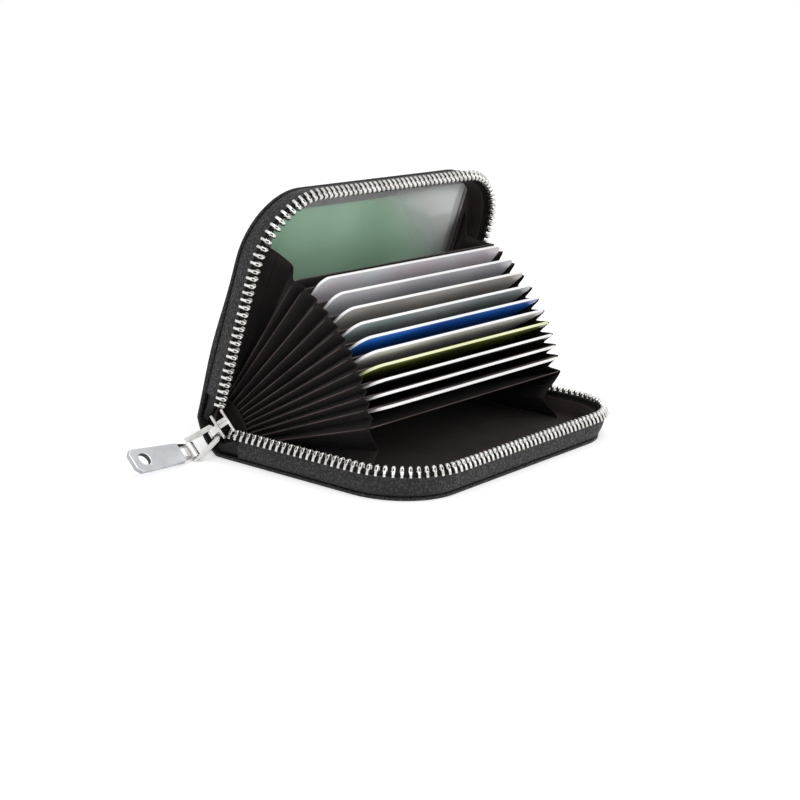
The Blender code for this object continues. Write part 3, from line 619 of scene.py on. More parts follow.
def add_stitching(half):
    """Lock stitches round three sides of a cover: each is a short fat loop that dips into its holes."""
    bm = bmesh.new()
    for number in range(int((RIM_LENGTH - 2 * STITCH_END) / STITCH_PITCH)):
        point, out = rim(STITCH_END + STITCH_PITCH * (number + 0.5))
        verts = bmesh.ops.create_icosphere(bm, subdivisions=1, radius=1)["verts"]
        size = (STITCH_RADIUS, STITCH_LENGTH / 2, STITCH_FLATNESS_SHARE * STITCH_RADIUS)
        bmesh.ops.scale(bm, verts=verts, vec=size)
        spot = point - out * STITCH_INSET
        spot.z = HALF_HEIGHT - STITCH_SINK + (bow(spot.y) if half == UPPER else 0)
        turn = Matrix.Rotation(math.atan2(out.y, out.x), 3, "Z")
        bmesh.ops.rotate(bm, verts=verts, cent=(0, 0, 0), matrix=turn)
        bmesh.ops.translate(bm, verts=verts, vec=spot)
    if half == LOWER:
        bmesh.ops.scale(bm, verts=bm.verts, vec=(1, 1, -1))
    open_by(bm, TURNS[half])
    attach(piece(NAMES[half] + "_cover_stitching", bm, "thread"), BODIES[half], "black_smooth_leather")


# Side walls, end tabs, zip tapes and teeth

FOOT_TUCK = 0.5 * MM
FOOT_TUCK_SHARE = 0.12
FOOT_SHARES = [0, 0.04, 0.08]
WALL_STEPS = 8
WALL_EDGE_STEPS = 4
WALL_END_STEP = 0.35 * MM
WALL_MAP = (RIM_LENGTH, 14 * MM)


def wall_profile():
    """The wall's cross-section as distances outwards and heights, rounded at its top edge and at its foot."""
    half = WALL_THICKNESS / 2
    rise = WALL_TOP + half - WALL_FOOT

    def middle(share):
        height = WALL_FOOT + rise * share
        return flare(height) + WALL_BULGE * math.sin(math.pi * share) - WALL_INSET, height

    points = []
    for share in FOOT_SHARES + [step / WALL_STEPS for step in range(1, WALL_STEPS + 1)]:
        offset, height = middle(share)
        tuck = FOOT_TUCK * max(0, 1 - share / FOOT_TUCK_SHARE) ** 2
        points.append((half + offset - tuck, height))
    for step in range(1, WALL_EDGE_STEPS):
        turn = math.pi * step / WALL_EDGE_STEPS
        offset = half * math.cos(turn) + flare(WALL_TOP) - WALL_INSET
        points.append((offset, WALL_TOP + half - half * math.sin(turn)))
    for step in range(WALL_STEPS + 1):
        offset, height = middle(1 - step / WALL_STEPS)
        points.append((offset - half, height))
    return points


def add_side_wall(half):
    def bend(offset, height, distance):
        end = min(distance, RIM_LENGTH - distance) - WALL_START
        if end < WALL_END_RADIUS:
            cut = WALL_END_RADIUS - math.sqrt(max(0, WALL_END_RADIUS ** 2 - (WALL_END_RADIUS - end) ** 2))
            cut *= (WALL_FOOT - height) / (WALL_FOOT - WALL_TOP)
            height += cut
            offset += flare(height) - flare(height - cut)
        return offset, height

    rounded = WALL_START + WALL_END_RADIUS
    stations = []
    for start, finish, step in (
            (WALL_START, rounded, WALL_END_STEP),
            (rounded + MM, RIM_LENGTH - rounded - MM, RIM_STEP),
            (RIM_LENGTH - rounded, RIM_LENGTH - WALL_START, WALL_END_STEP)):
        stations += rim_stations(half, start, finish, step, bend)
    bm = sweep(stations, wall_profile(), WALL_MAP)
    made = piece(NAMES[half] + "_side_wall_leather", open_by(bm, TURNS[half]), "leather")
    attach(made, BODIES[half], "black_grained_leather", NAMES[half] + "_side_wall")


END_TAB_INSET = 1.45 * MM
END_TAB_THICKNESS = 0.7 * MM
END_TAB_FRONT = 10.0 * MM
END_TAB_REAR = 1.6 * MM
END_TAB_BEND = 7.0 * MM
END_TAB_TOP = 2.9 * MM
END_TAB_DROP = 2.6 * MM
END_TAB_UPRIGHT_SHARE = 0.75
END_TAB_CROWN = 0.35 * MM
END_TAB_MAP = (7 * MM, 12 * MM)


def add_end_tabs(half):
    """Smooth leather ends that close the wall at the spine and hold the ends of the zip tape."""
    for side, name in ((-1, "near"), (1, "far")):
        def place(across, along, side=side):
            y = -END_TAB_FRONT + (END_TAB_FRONT + END_TAB_REAR) * along
            near_spine = smooth(min(1, max(0, (y + END_TAB_BEND) / (END_TAB_REAR + END_TAB_BEND))))
            top = END_TAB_TOP + END_TAB_DROP * near_spine
            height = WALL_FOOT - (WALL_FOOT - top) * across
            lean = flare(height) * (1 - END_TAB_UPRIGHT_SHARE * near_spine)
            crown = END_TAB_CROWN * math.sin(math.pi * across)
            return Vector((side * (COVER_WIDTH / 2 - END_TAB_INSET + lean + crown), y, half * height))

        node_name = "%s_end_tab_%s" % (NAMES[half], name)
        bm = open_by(lattice(10, 20, place, END_TAB_MAP), TURNS[half])
        made = thicken(piece(node_name + "_leather", bm, "smooth", outward=False), END_TAB_THICKNESS)
        attach(made, BODIES[half], "black_smooth_leather", node_name)


TAPE_FOOT = 6.9 * MM
TAPE_TOP = ROW_HEIGHT + 0.9 * MM
TAPE_GAP = 0.12 * MM
TAPE_INSET = WALL_INSET + WALL_THICKNESS / 2 + TAPE_THICKNESS / 2 + TAPE_GAP
TAPE_STEPS = 4
TAPE_HOOK = 6
TAPE_CORD_RADIUS = 0.52 * MM
TAPE_CORD_HEIGHT = ROW_HEIGHT + 0.35 * MM
TAPE_CORD_START = math.radians(-60)
TAPE_CORD_SPAN = math.radians(300)
TAPE_CORD_STEPS = 8


def add_zip_tape(half):
    """Woven tape behind the wall, with the thick cord in its edge that the teeth grip."""
    def strand(share, side):
        height = TAPE_FOOT + (TAPE_TOP - TAPE_FOOT) * share
        offset = flare(height) - TAPE_INSET
        offset += (ROW_OUTSET - (flare(TAPE_TOP) - TAPE_INSET)) * share ** TAPE_HOOK
        return offset + side * TAPE_THICKNESS / 2, height

    profile = [strand(step / TAPE_STEPS, 1) for step in range(TAPE_STEPS + 1)]
    for step in range(TAPE_CORD_STEPS + 1):
        turn = TAPE_CORD_START + TAPE_CORD_SPAN * step / TAPE_CORD_STEPS
        profile.append((ROW_OUTSET + TAPE_CORD_RADIUS * math.cos(turn),
                        TAPE_CORD_HEIGHT - TAPE_CORD_RADIUS * math.sin(turn)))
    profile += [strand(1 - step / TAPE_STEPS, -1) for step in range(TAPE_STEPS + 1)]
    bm = sweep(rim_stations(half, WALL_START, RIM_LENGTH - WALL_START), profile, WALL_MAP)
    made = piece(NAMES[half] + "_zip_tape_cloth", open_by(bm, TURNS[half]), "tape")
    attach(made, BODIES[half], "black_zip_tape", NAMES[half] + "_zip_tape")


# In millimetres: across the tape, and up from just below the parting plane
TOOTH_OUTLINE = (
    (1.12, -2.62), (1.27, -2.40), (1.20, -1.70), (1.02, -1.10), (0.92, -0.55), (0.82, -0.05),
    (0.56, 0.32), (0.20, 0.48), (-0.20, 0.48), (-0.56, 0.32), (-0.82, -0.05), (-0.92, -0.55),
    (-0.98, -1.05), (-1.08, -1.50), (-1.14, -1.95), (-1.02, -2.10), (-0.80, -1.98), (-0.66, -1.50),
    (-0.36, -1.26), (0.36, -1.26), (0.62, -1.55), (0.78, -2.45), (0.92, -2.62),
)
TOOTH_ROUND = 0.1 * MM
TOOTH_RISE = 1.45 * MM
HEAD_END = 1.16 * MM
LEG_SHARE = 0.78
LEG_START = 0.7 * MM
LEG_BLEND = 0.8 * MM
HEAD_MIDDLE = -0.3 * MM
HEAD_RISE = 0.78 * MM
HEAD_NARROWING_SHARE = 0.45
CUP_DEPTH = 0.38 * MM
NIB_HEIGHT = 0.14 * MM
CAP_BORDER = 0.16 * MM
CAP_SLOPE = 0.12 * MM
FRONT_LOW = -1.05 * MM
FRONT_HIGH = -0.1 * MM
FRONT_BORDER = 0.17 * MM
FRONT_SLOPE = 0.06 * MM
FRONT_DEPTH = 0.2 * MM
FACING_SHARE = 0.9
# The material slot of the dark nickel that paints shade into the teeth's hollows
RECESS_SHADE_SLOT = 1

ROW_RADIUS = CORNER_RADIUS + ROW_OUTSET
ROW_SIDE = SIDE - ROW_START
ROW_CORNER = math.pi / 2 * ROW_RADIUS
ROW_LENGTH = 2 * ROW_SIDE + 2 * ROW_CORNER + BROW


def tooth_form():
    """One stamped tooth: thin legs that grip the cord, and a round head with a cup and a nib."""
    bm = slab(in_mm(TOOTH_OUTLINE), -TOOTH_LENGTH / 2, TOOTH_LENGTH / 2)
    bevel(bm, level_edges(bm, TOOTH_ROUND), TOOTH_ROUND, 1)
    for vert in bm.verts:
        share = min(1, max(0, (-vert.co.y - LEG_START) / LEG_BLEND))
        crown = max(0, (vert.co.y - HEAD_MIDDLE) / HEAD_RISE)
        vert.co.z *= (1 - (1 - LEG_SHARE) * smooth(share)) * (1 - HEAD_NARROWING_SHARE * crown ** 2)
    bmesh.ops.bisect_plane(bm, geom=bm.verts[:] + bm.edges[:] + bm.faces[:], plane_co=(0, -HEAD_END, 0),
                           plane_no=(0, 1, 0), dist=HAIR)
    for direction, depth in ((-1, -CUP_DEPTH), (1, NIB_HEIGHT)):
        caps = [f for f in bm.faces
                if f.normal.z * direction > FACING_SHARE and f.calc_center_median().y > -HEAD_END]
        bmesh.ops.inset_individual(bm, faces=caps, thickness=CAP_BORDER, depth=0)
        bmesh.ops.inset_individual(bm, faces=caps, thickness=CAP_SLOPE, depth=depth)
        # The cup's faces take the dark nickel, painted shade
        if depth < 0:
            for face in caps:
                face.material_index = RECESS_SHADE_SLOT
    bm.normal_update()
    front = [f for f in bm.faces
             if f.normal.x > FACING_SHARE and FRONT_LOW < f.calc_center_median().y < FRONT_HIGH]
    bmesh.ops.inset_region(bm, faces=front, thickness=FRONT_BORDER, depth=0)
    bmesh.ops.inset_region(bm, faces=front, thickness=FRONT_SLOPE, depth=-FRONT_DEPTH)
    # The hollow in the head's front takes the dark nickel too, painted shade
    for face in front:
        face.material_index = RECESS_SHADE_SLOT
    return bm


def rim_distance(along):
    """The distance along the cover's rim for one along the row, which is longer round the corners."""
    shift = 0
    for begin in (ROW_SIDE, ROW_SIDE + ROW_CORNER + BROW):
        shift += min(max(0, along - begin), ROW_CORNER) * (1 - CORNER_RADIUS / ROW_RADIUS)
    return ROW_START + along - shift


def add_teeth(half):
    """One row of teeth, half a pitch away from the row of the other half."""
    form = tooth_form()
    mesh = bpy.data.meshes.new("tooth_form")
    form.to_mesh(mesh)
    form.free()
    count = int((ROW_LENGTH - TOOTH_PITCH / 2 - TOOTH_LENGTH) / TOOTH_PITCH)
    phase = 0 if half == LOWER else TOOTH_PITCH / 2
    up = Vector((0, 0, 1))
    bm = bmesh.new()
    for number in range(-ROW_EXTRA, count):
        point, out = rim(rim_distance(phase + TOOTH_PITCH * number + TOOTH_LENGTH / 2))
        spot = point + out * ROW_OUTSET + Vector((0, 0, TOOTH_RISE - ROW_HEIGHT))
        side = out.cross(up)
        basis = Matrix((out, up, side)).transposed().to_4x4()
        before = len(bm.verts)
        bm.from_mesh(mesh)
        bm.verts.ensure_lookup_table()
        tilt = Matrix.Rotation(TOOTH_LEAN, 4, side)
        bmesh.ops.transform(bm, verts=bm.verts[before:], matrix=Matrix.Translation(spot) @ tilt @ basis)
    bpy.data.meshes.remove(mesh)
    if half == UPPER:
        bmesh.ops.scale(bm, verts=bm.verts, vec=(1, 1, -1))
    made = piece(NAMES[half] + "_teeth_row", open_by(bm, TURNS[half]), ["teeth", "recess_shade"], soft_angle=50)
    attach(made, BODIES[half], "bright_nickel", NAMES[half] + "_zip_teeth")


# Linings

LINING_GAP = 2.3 * MM
LINING_FLOOR = INNER_HEIGHT + GLUE_GAP
LINING_TOP = 3.0 * MM
LINING_FOLD = 1.2 * MM
LINING_FLAT_SHARE = 0.5
LINING_FOLD_SHARE = 0.3
LINING_FLARE_SHARE = 0.95
LINING_MAP = (RIM_LENGTH, 60 * MM)


def add_lining(half):
    """The lining lies on the board and turns up inside the wall to the zip tape."""
    def place(across, along):
        point, out = rim(across * RIM_LENGTH)
        if along < LINING_FLAT_SHARE:
            spot = (point - out * (LINING_GAP + LINING_FOLD)) * (along / LINING_FLAT_SHARE)
            return Vector((spot.x, min(spot.y, 0), half * LINING_FLOOR))
        share = (along - LINING_FLAT_SHARE) / (1 - LINING_FLAT_SHARE)
        turn = min(1, share / LINING_FOLD_SHARE) * math.pi / 2
        rise = max(0, share - LINING_FOLD_SHARE) / (1 - LINING_FOLD_SHARE)
        height = LINING_FLOOR - LINING_FOLD * (1 - math.cos(turn))
        height -= (LINING_FLOOR - LINING_FOLD - LINING_TOP) * rise
        reach = LINING_GAP + LINING_FOLD * (1 - math.sin(turn))
        reach -= flare(height) * smooth(min(1, share)) * LINING_FLARE_SHARE
        spot = point - out * reach
        return Vector((spot.x, spot.y, half * height))

    bm = lattice(140, 16, place, LINING_MAP)
    made = thicken(piece(NAMES[half] + "_lining_cloth", open_by(bm, TURNS[half]), "lining", outward=False))
    attach(made, BODIES[half], "dark_brown_lining", NAMES[half] + "_lining")


# Accordion

def divider_heights():
    height = INNER_HEIGHT - GLUE_GAP - ID_CARD_THICKNESS - WINDOW_GAP - WINDOW_THICKNESS - PLEAT_GAP
    height -= DIVIDER_THICKNESS / 2
    heights = [height]
    for number in range(1, len(FAN_SHARES)):
        fan = (FAN_SHARES[number - 1] - FAN_SHARES[number]) * OPEN_ANGLE
        if number == 1:
            height -= DIVIDER_THICKNESS + EMPTY_POCKET_GAP + DIVIDER_BACK * fan
        else:
            height -= DIVIDER_THICKNESS + CARD_THICKNESS + 2 * CARD_GAP + CARD_BACK * fan
        heights.append(height)
    return heights


HEIGHTS = divider_heights()
FOLD_TOP_GAP = 0.9 * MM
FOLD_FOOT_GAP = 0.1 * MM
# The heights and angles of the edges between the folds, from the upper half to the lower one
LEVELS = [(INNER_HEIGHT - FOLD_TOP_GAP, OPEN_ANGLE)]
LEVELS += [(height, share * OPEN_ANGLE) for height, share in zip(HEIGHTS, FAN_SHARES)]
LEVELS.append((FOLD_FOOT_GAP - INNER_HEIGHT, 0.0))

SHEET_INSET = 0.1 * MM
HEM_RADIUS = 0.17 * MM
HEM_LIFT = 0.14 * MM
HEM_OUTSET = 0.12 * MM
HEM_TURN = 2.0 * MM
HEM_TURN_STEPS = 5
HEM_SIDES = 8
HEM_MAP = (190 * MM, 1.6 * MM)


def hem_path():
    """The way of a divider's folded edge: up one end, along the mouth and back."""
    side = DIVIDER_HALF_WIDTH + HEM_OUTSET
    path = [(-side, -PLEAT_START), (-side, -DIVIDER_MOUTH / 2), (-side, -DIVIDER_MOUTH + HEM_TURN)]
    for step in range(1, HEM_TURN_STEPS):
        bend = math.pi / 2 * step / HEM_TURN_STEPS
        path.append((-side + HEM_TURN * (1 - math.cos(bend)),
                     -DIVIDER_MOUTH + HEM_TURN * (1 - math.sin(bend))))
    path += [(-side + HEM_TURN, -DIVIDER_MOUTH), (0, -DIVIDER_MOUTH)]
    return path + [(-x, y) for x, y in reversed(path[:-1])]


def add_divider(number):
    """A divider's sheet, and the folded edge that runs round its ends and its mouth. The folded edge's
    lighter colour is a painted highlight along the crest.
    """
    height = HEIGHTS[number]
    angle = FAN_SHARES[number] * OPEN_ANGLE
    leaf = "leaf_%02d" % (number + 1)
    name = "divider_%02d" % (number + 1)

    def place(across, along):
        x = (across * 2 - 1) * (DIVIDER_HALF_WIDTH - SHEET_INSET)
        y = DIVIDER_BACK - (DIVIDER_BACK + DIVIDER_MOUTH - SHEET_INSET) * along
        return Vector((x, y, height))

    size = (2 * DIVIDER_HALF_WIDTH, DIVIDER_MOUTH + DIVIDER_BACK)
    bm = open_by(lattice(24, 12, place, size), angle)
    sheet = thicken(piece(name + "_cloth", bm, "pleat", outward=False), DIVIDER_THICKNESS)
    attach(sheet, leaf, "dark_brown_lining", name)

    path = hem_path()
    stations = []
    for step, (x, y) in enumerate(path):
        before, after = path[max(0, step - 1)], path[min(len(path) - 1, step + 1)]
        way = Vector((after[0] - before[0], after[1] - before[1], 0)).normalized()
        out = way.cross(Vector((0, 0, 1)))
        stations.append(lambda a, b, x=x, y=y, out=out: Vector((x, y, height + HEM_LIFT + b)) + out * a)
    bm = open_by(sweep(stations, oval(0, HEM_RADIUS, HEM_RADIUS, HEM_SIDES), HEM_MAP), angle)
    # The fold edge takes the lighter cloth, a painted highlight along the crest
    hem = attach(piece(name + "_fold_edge", bm, "hem"), leaf, "dark_brown_lining")


CARD_CORNER_STEPS = 8
CARD_ROUND = 0.07 * MM
LOWER_SIDE_SHARE = 0.95
PALE_CORE = 6


def rounded_card():
    x = CARD_LENGTH / 2 - CARD_CORNER
    front, rear = CARD_BACK - CARD_DEPTH + CARD_CORNER, CARD_BACK - CARD_CORNER
    points = []
    for centre_x, centre_y, first in ((-x, front, 180), (x, front, 270), (x, rear, 0), (-x, rear, 90)):
        points += arc(centre_x, centre_y, CARD_CORNER, first, CARD_CORNER_STEPS)
    return points


def add_card(index):
    """A plain bank-size card: a white core with a tinted face on its lower side."""
    number = index + 1
    high = HEIGHTS[number] - DIVIDER_THICKNESS / 2 - CARD_GAP
    bm = slab(rounded_card(), high - CARD_THICKNESS, high)
    bevel(bm, sharp_edges(bm, 60), CARD_ROUND, 2)
    for face in bm.faces:
        # The lower face takes the card's face colour; on the last three cards that colour is painted shade
        face.material_index = 1 if face.normal.z < -LOWER_SIDE_SHARE else 0
    base, shade = CARD_FACES[index]
    name = "card_%02d" % number
    lower_face_material = card_plastic("tinted_pvc_" + name, base, shade)
    core = "yellow_card" if index == PALE_CORE else "card"
    made = piece(name + "_plastic", open_by(bm, FAN_SHARES[number] * OPEN_ANGLE), [core, lower_face_material])
    attach(made, name, "white_card", name)


END_STRIPS = 4
END_FOLD_DEPTH = 1.6 * PLEAT_DEPTH
FOLD_THICKNESS = 0.18 * MM
FOLD_OUTSET = 0.2 * MM
FOLD_MAP = (10 * MM, 45 * MM)
PANEL_REACH = 5.0 * MM
MOUTH_TUCK = 1.6 * MM
HINGE_DEPTH_SHARE = 0.35
DEPTH_RISE = 2.5


def add_gusset_folds():
    """The fabric at each end of the pockets: one fold per pocket, the two outermost in four strips each."""
    weights = [1.0] + list(FAN_SHARES) + [0.0]
    for side, name in ((-1, "left"), (1, "right")):
        for fold in range(len(LEVELS) - 1):
            outermost = fold in (0, len(LEVELS) - 2)
            strips = END_STRIPS if outermost else 1
            for strip in range(strips):
                first, last = strip / strips, (strip + 1) / strips
                bm = gusset_strip(side, fold, first, last, END_FOLD_DEPTH if outermost else PLEAT_DEPTH)
                label = "%s_gusset_fold_%02d" % (name, fold + 1)
                if outermost:
                    label += "_part_%d" % (strip + 1)
                made = thicken(piece(label, bm, "pleat", outward=False, soft_angle=60), FOLD_THICKNESS)
                start, end = fold_blend(fold, weights, first, last)
                across_hinge(made, "dark_brown_lining", start, end, name + "_bellows_gusset")


def fold_blend(fold, weights, first, last):
    """A line through the mouth ends of a strip's two edges, placed so that each lies at the blend place of
    its leaf's weight.
    """
    edges = []
    for share in (first, last):
        height, angle = (a + (b - a) * share for a, b in zip(LEVELS[fold], LEVELS[fold + 1]))
        weight = weights[fold] + (weights[fold + 1] - weights[fold]) * share
        edges.append((Vector((0, *opened(-DIVIDER_MOUTH, height, angle))), blend_place(weight)))
    (far_a, share_a), (far_b, share_b) = edges
    per_share = (far_a - far_b) / (share_a - share_b)
    start = far_b - per_share * share_b
    return start, start + per_share


def gusset_strip(side, fold, first, last, depth):
    """A part of one fold's width, as a folded sheet from near the hinge to the mouth."""
    (height_a, angle_a), (height_b, angle_b) = LEVELS[fold], LEVELS[fold + 1]
    crest = DIVIDER_HALF_WIDTH + FOLD_OUTSET

    def place(across, along):
        across = first + (last - first) * across
        valley = 1 - abs(across * 2 - 1)
        tuck = (smooth(valley) + valley) / 2
        mouth = DIVIDER_MOUTH + (PANEL_REACH * (1 - smooth(across)) if fold == 0 else 0)
        reach = PLEAT_START + (mouth - PLEAT_START - MOUTH_TUCK * tuck) * along
        ya, za = opened(-reach, height_a, angle_a)
        yb, zb = opened(-reach, height_b, angle_b)
        deepened = HINGE_DEPTH_SHARE + (1 - HINGE_DEPTH_SHARE) * min(1, along * DEPTH_RISE)
        x = crest - depth * tuck * deepened
        return Vector((side * x, ya + (yb - ya) * across, za + (zb - za) * across))

    return lattice(12, 14, place, FOLD_MAP)


def blend_place(weight):
    """The place along a blend at which its smooth step has a given weight."""
    low, high = 0.0, 1.0
    for _ in range(40):
        middle = (low + high) / 2
        low, high = (middle, high) if smooth(middle) < weight else (low, middle)
    return (low + high) / 2


BACK_STRIP_HALF_WIDTH = 43.5 * MM
BACK_STRIP_RADIUS = SPINE_REACH - 1.25 * MM
BACK_STRIP_START_SHARE = 0.02
BACK_STRIP_SPAN_SHARE = 0.96
BACK_STRIP_MAP = (13 * MM, 87 * MM)


def back_strip_arc(share):
    """A point of the back strip's arc inside the spine, by its share of the way from the lower cover."""
    turn = -SPINE_START + SPINE_SPAN * (BACK_STRIP_START_SHARE + BACK_STRIP_SPAN_SHARE * share)
    return HINGE.y + BACK_STRIP_RADIUS * math.cos(turn), HINGE.z + BACK_STRIP_RADIUS * math.sin(turn)


def add_back_strip():
    """The cloth behind the pockets, inside the spine."""
    def place(across, along):
        return Vector(((along * 2 - 1) * BACK_STRIP_HALF_WIDTH, *back_strip_arc(across)))

    made = thicken(piece("back_strip_cloth", lattice(20, 24, place, BACK_STRIP_MAP), "lining", outward=False))
    across_hinge(made, "dark_brown_lining", SPINE_LOW, SPINE_HIGH, "bellows_back_strip")


GORE_REACH = 2.7 * MM
GORE_PLACE = DIVIDER_HALF_WIDTH + 0.55 * MM
GORE_MAP = (14 * MM, 10 * MM)


def add_gusset_gores():
    """Small gores of cloth close each end of the pockets between the first folds and the back strip."""
    last = len(LEVELS) - 1
    for side, name in ((-1, "left"), (1, "right")):
        def place(across, along, side=side):
            height, angle = LEVELS[last - round(across * last)]
            front_y, front_z = opened(-GORE_REACH, height, angle)
            rear_y, rear_z = back_strip_arc(across)
            y = front_y + (rear_y - front_y) * along
            return Vector((side * GORE_PLACE, y, front_z + (rear_z - front_z) * along))

        bm = lattice(last, 8, place, GORE_MAP)
        made = thicken(piece(name + "_gusset_gore", bm, "pleat", outward=False))
        across_hinge(made, "dark_brown_lining", SPINE_LOW, SPINE_HIGH, name + "_bellows_gusset")


# Window

WINDOW_LOW = 6.88 * MM
BORDER_OUTER = in_mm(((-46.2, -61.0), (45.4, -61.0), (45.4, -3.6), (-46.2, -3.6)))
BORDER_INNER = in_mm(((-44.4, -59.2), (43.9, -59.2), (43.9, -5.6), (-44.4, -5.6)))
BORDER_CORNER = 2.2 * MM
BORDER_CORNER_STEPS = 4
BORDER_HALF_THICKNESS = 0.08 * MM
FILM_CORNER = (-45.6 * MM, -60.4 * MM)
FILM_SIZE = (89 * MM, 56 * MM)
FILM_GAP = 0.05 * MM
FILM_THICKNESS = 0.05 * MM
FILM_RIPPLE = 0.02 * MM


def cut_corners(points):
    """An outline with each corner drawn in between its two sides."""
    rounded = []
    for number, point in enumerate(points):
        spot = Vector(point)
        to_before = (Vector(points[number - 1]) - spot).normalized() * BORDER_CORNER
        to_after = (Vector(points[(number + 1) % len(points)]) - spot).normalized() * BORDER_CORNER
        for step in range(BORDER_CORNER_STEPS + 1):
            share = step / BORDER_CORNER_STEPS
            one = spot + to_before * (1 - share)
            two = spot + to_after * share
            rounded.append(tuple(one.lerp(two, share)))
    return rounded


def add_window():
    """A clear vinyl sheet over the upper lining, with a grey welded border, holds a card flat."""
    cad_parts["id_card"].data.materials[0] = MATERIALS["green_card"]
    border = ring_bar(cut_corners(BORDER_OUTER), cut_corners(BORDER_INNER), BORDER_HALF_THICKNESS)
    bmesh.ops.translate(border, verts=border.verts, vec=(0, 0, WINDOW_LOW + BORDER_HALF_THICKNESS))
    made = piece("window_welded_border", open_by(border, OPEN_ANGLE), "vinyl")
    attach(made, "upper_half", "dark_brown_lining", "window_frame")

    def place(across, along):
        ripple = FILM_RIPPLE * math.sin(9 * across + 2 * math.sin(5 * along))
        return Vector((FILM_CORNER[0] + FILM_SIZE[0] * across, FILM_CORNER[1] + FILM_SIZE[1] * along,
                       WINDOW_LOW - FILM_GAP + ripple))

    film = open_by(lattice(24, 14, place, FILM_SIZE), OPEN_ANGLE)
    made = thicken(piece("window_clear_film", film, "film", outward=False), FILM_THICKNESS)
    attach(made, "upper_half", "clear_film", "window_sheet")


# Slider and puller

def slider_matrix():
    turn = Matrix.Rotation(-SLIDER_ROLL, 4, "X") @ Matrix.Rotation(-SLIDER_TWIST, 4, "Z")
    return Matrix.Translation(SLIDER_SEAT) @ turn


def link_matrix():
    return slider_matrix() @ Matrix.Translation((-LINK_PIVOT, 0, 0)) @ Matrix.Rotation(LINK_ANGLE, 4, "Z")


def tab_matrix():
    end = Matrix.Translation((0, LINK_LENGTH - LINK_BAR, 0))
    return link_matrix() @ end @ Matrix.Rotation(TAB_ANGLE, 4, "Z")


STAND = Matrix.Rotation(math.pi / 2, 4, "Y") @ Matrix.Rotation(math.pi / 2, 4, "Z")
METAL_ROUND = 0.12 * MM


def metal_part(name, bm, matrix, body, *nodes, rounding=METAL_ROUND, material="nickel"):
    """A metal piece whose flat faces stay flat between rounded edges."""
    bmesh.ops.recalc_face_normals(bm, faces=bm.faces)
    rounded = set(bevel(bm, sharp_edges(bm, 35), rounding, 2)["faces"])
    for face in bm.faces:
        face.smooth = True
    for edge in bm.edges:
        edge.smooth = sum(face in rounded for face in edge.link_faces) != 1
    bmesh.ops.transform(bm, verts=bm.verts, matrix=matrix)
    made = piece(name, bm, material, soft_angle=None)
    attach(made, body, "bright_nickel", *nodes)


PLATE_OUTLINE = mirrored(in_mm((
    (-4.75, 2.6), (-4.2, 3.55), (-3.1, 3.85), (-1.2, 3.3), (1.0, 3.0), (3.6, 3.0), (4.5, 2.5), (4.75, 1.6))))
PLATE_ROUND = 0.22 * MM
WEDGE_HALF_HEIGHT = PLATE_HALF_SPACE + 0.1 * MM
RAIL_ENDS = (-4.6 * MM, -2.4 * MM)
RAIL_SHIFT = 0.62 * MM
RAIL_HALF_WIDTH = 0.5 * MM
WEB_ENDS = (-4.2 * MM, -2.6 * MM)
WEB_HALF_WIDTH = 0.3 * MM
WEB_ROUND = 0.05 * MM
BRIDGE_RADII = ((2.85 * MM, 3.0 * MM), (2.1 * MM, 2.25 * MM))
BRIDGE_STEPS = 12
BRIDGE_SQUARENESS = 0.7
BRIDGE_FOOT = -PLATE_HALF_SPACE - PLATE_THICKNESS + 0.15 * MM
BRIDGE_HALF_WIDTH = 1.05 * MM
BRIDGE_ROUND = 0.25 * MM


def wedge_block(ends, middle, half_width):
    start, end = ends
    low, high = middle - half_width, middle + half_width
    outline = [(start, low), (end, low), (end, high), (start, high)]
    return slab(outline, -WEDGE_HALF_HEIGHT, WEDGE_HALF_HEIGHT)


def add_slider():
    """Two plates with a wide mouth and a narrow tail, joined by the wedge, and the bridge for the link."""
    seat = slider_matrix() @ STAND
    for name, low, nodes in (("outer", -PLATE_HALF_SPACE - PLATE_THICKNESS, ("slider_body",)),
                             ("inner", PLATE_HALF_SPACE, ())):
        plate = slab(PLATE_OUTLINE, low, low + PLATE_THICKNESS)
        metal_part("slider_%s_plate" % name, plate, seat, "slider", *nodes, rounding=PLATE_ROUND)
    for number, middle in ((1, -RAIL_SHIFT), (2, RAIL_SHIFT)):
        rail = wedge_block(RAIL_ENDS, middle, RAIL_HALF_WIDTH)
        metal_part("slider_wedge_rail_%d" % number, rail, seat, "slider")
    web = wedge_block(WEB_ENDS, 0, WEB_HALF_WIDTH)
    metal_part("slider_wedge_web", web, seat, "slider", rounding=WEB_ROUND)

    arches = []
    for along, up in BRIDGE_RADII:
        turns = [math.pi * step / BRIDGE_STEPS for step in range(BRIDGE_STEPS + 1)]
        arches.append([(BRIDGE_FOOT - up * math.sin(turn) ** BRIDGE_SQUARENESS, along * math.cos(turn))
                       for turn in turns])
    bridge = slab(arches[0] + arches[1][::-1], -BRIDGE_HALF_WIDTH, BRIDGE_HALF_WIDTH)
    metal_part("slider_bridge", bridge, slider_matrix(), "slider", rounding=BRIDGE_ROUND)


def closed_loop(bm, outline, height):
    verts = [bm.verts.new((x, y, height)) for x, y in outline]
    return [bm.edges.new((a, b)) for a, b in zip(verts, verts[1:] + verts[:1])]


def raise_faces(bm, faces, rise):
    """Makes a solid of flat faces."""
    lifted = bmesh.ops.extrude_face_region(bm, geom=faces)
    top = [item for item in lifted["geom"] if isinstance(item, bmesh.types.BMVert)]
    bmesh.ops.translate(bm, verts=top, vec=(0, 0, rise))


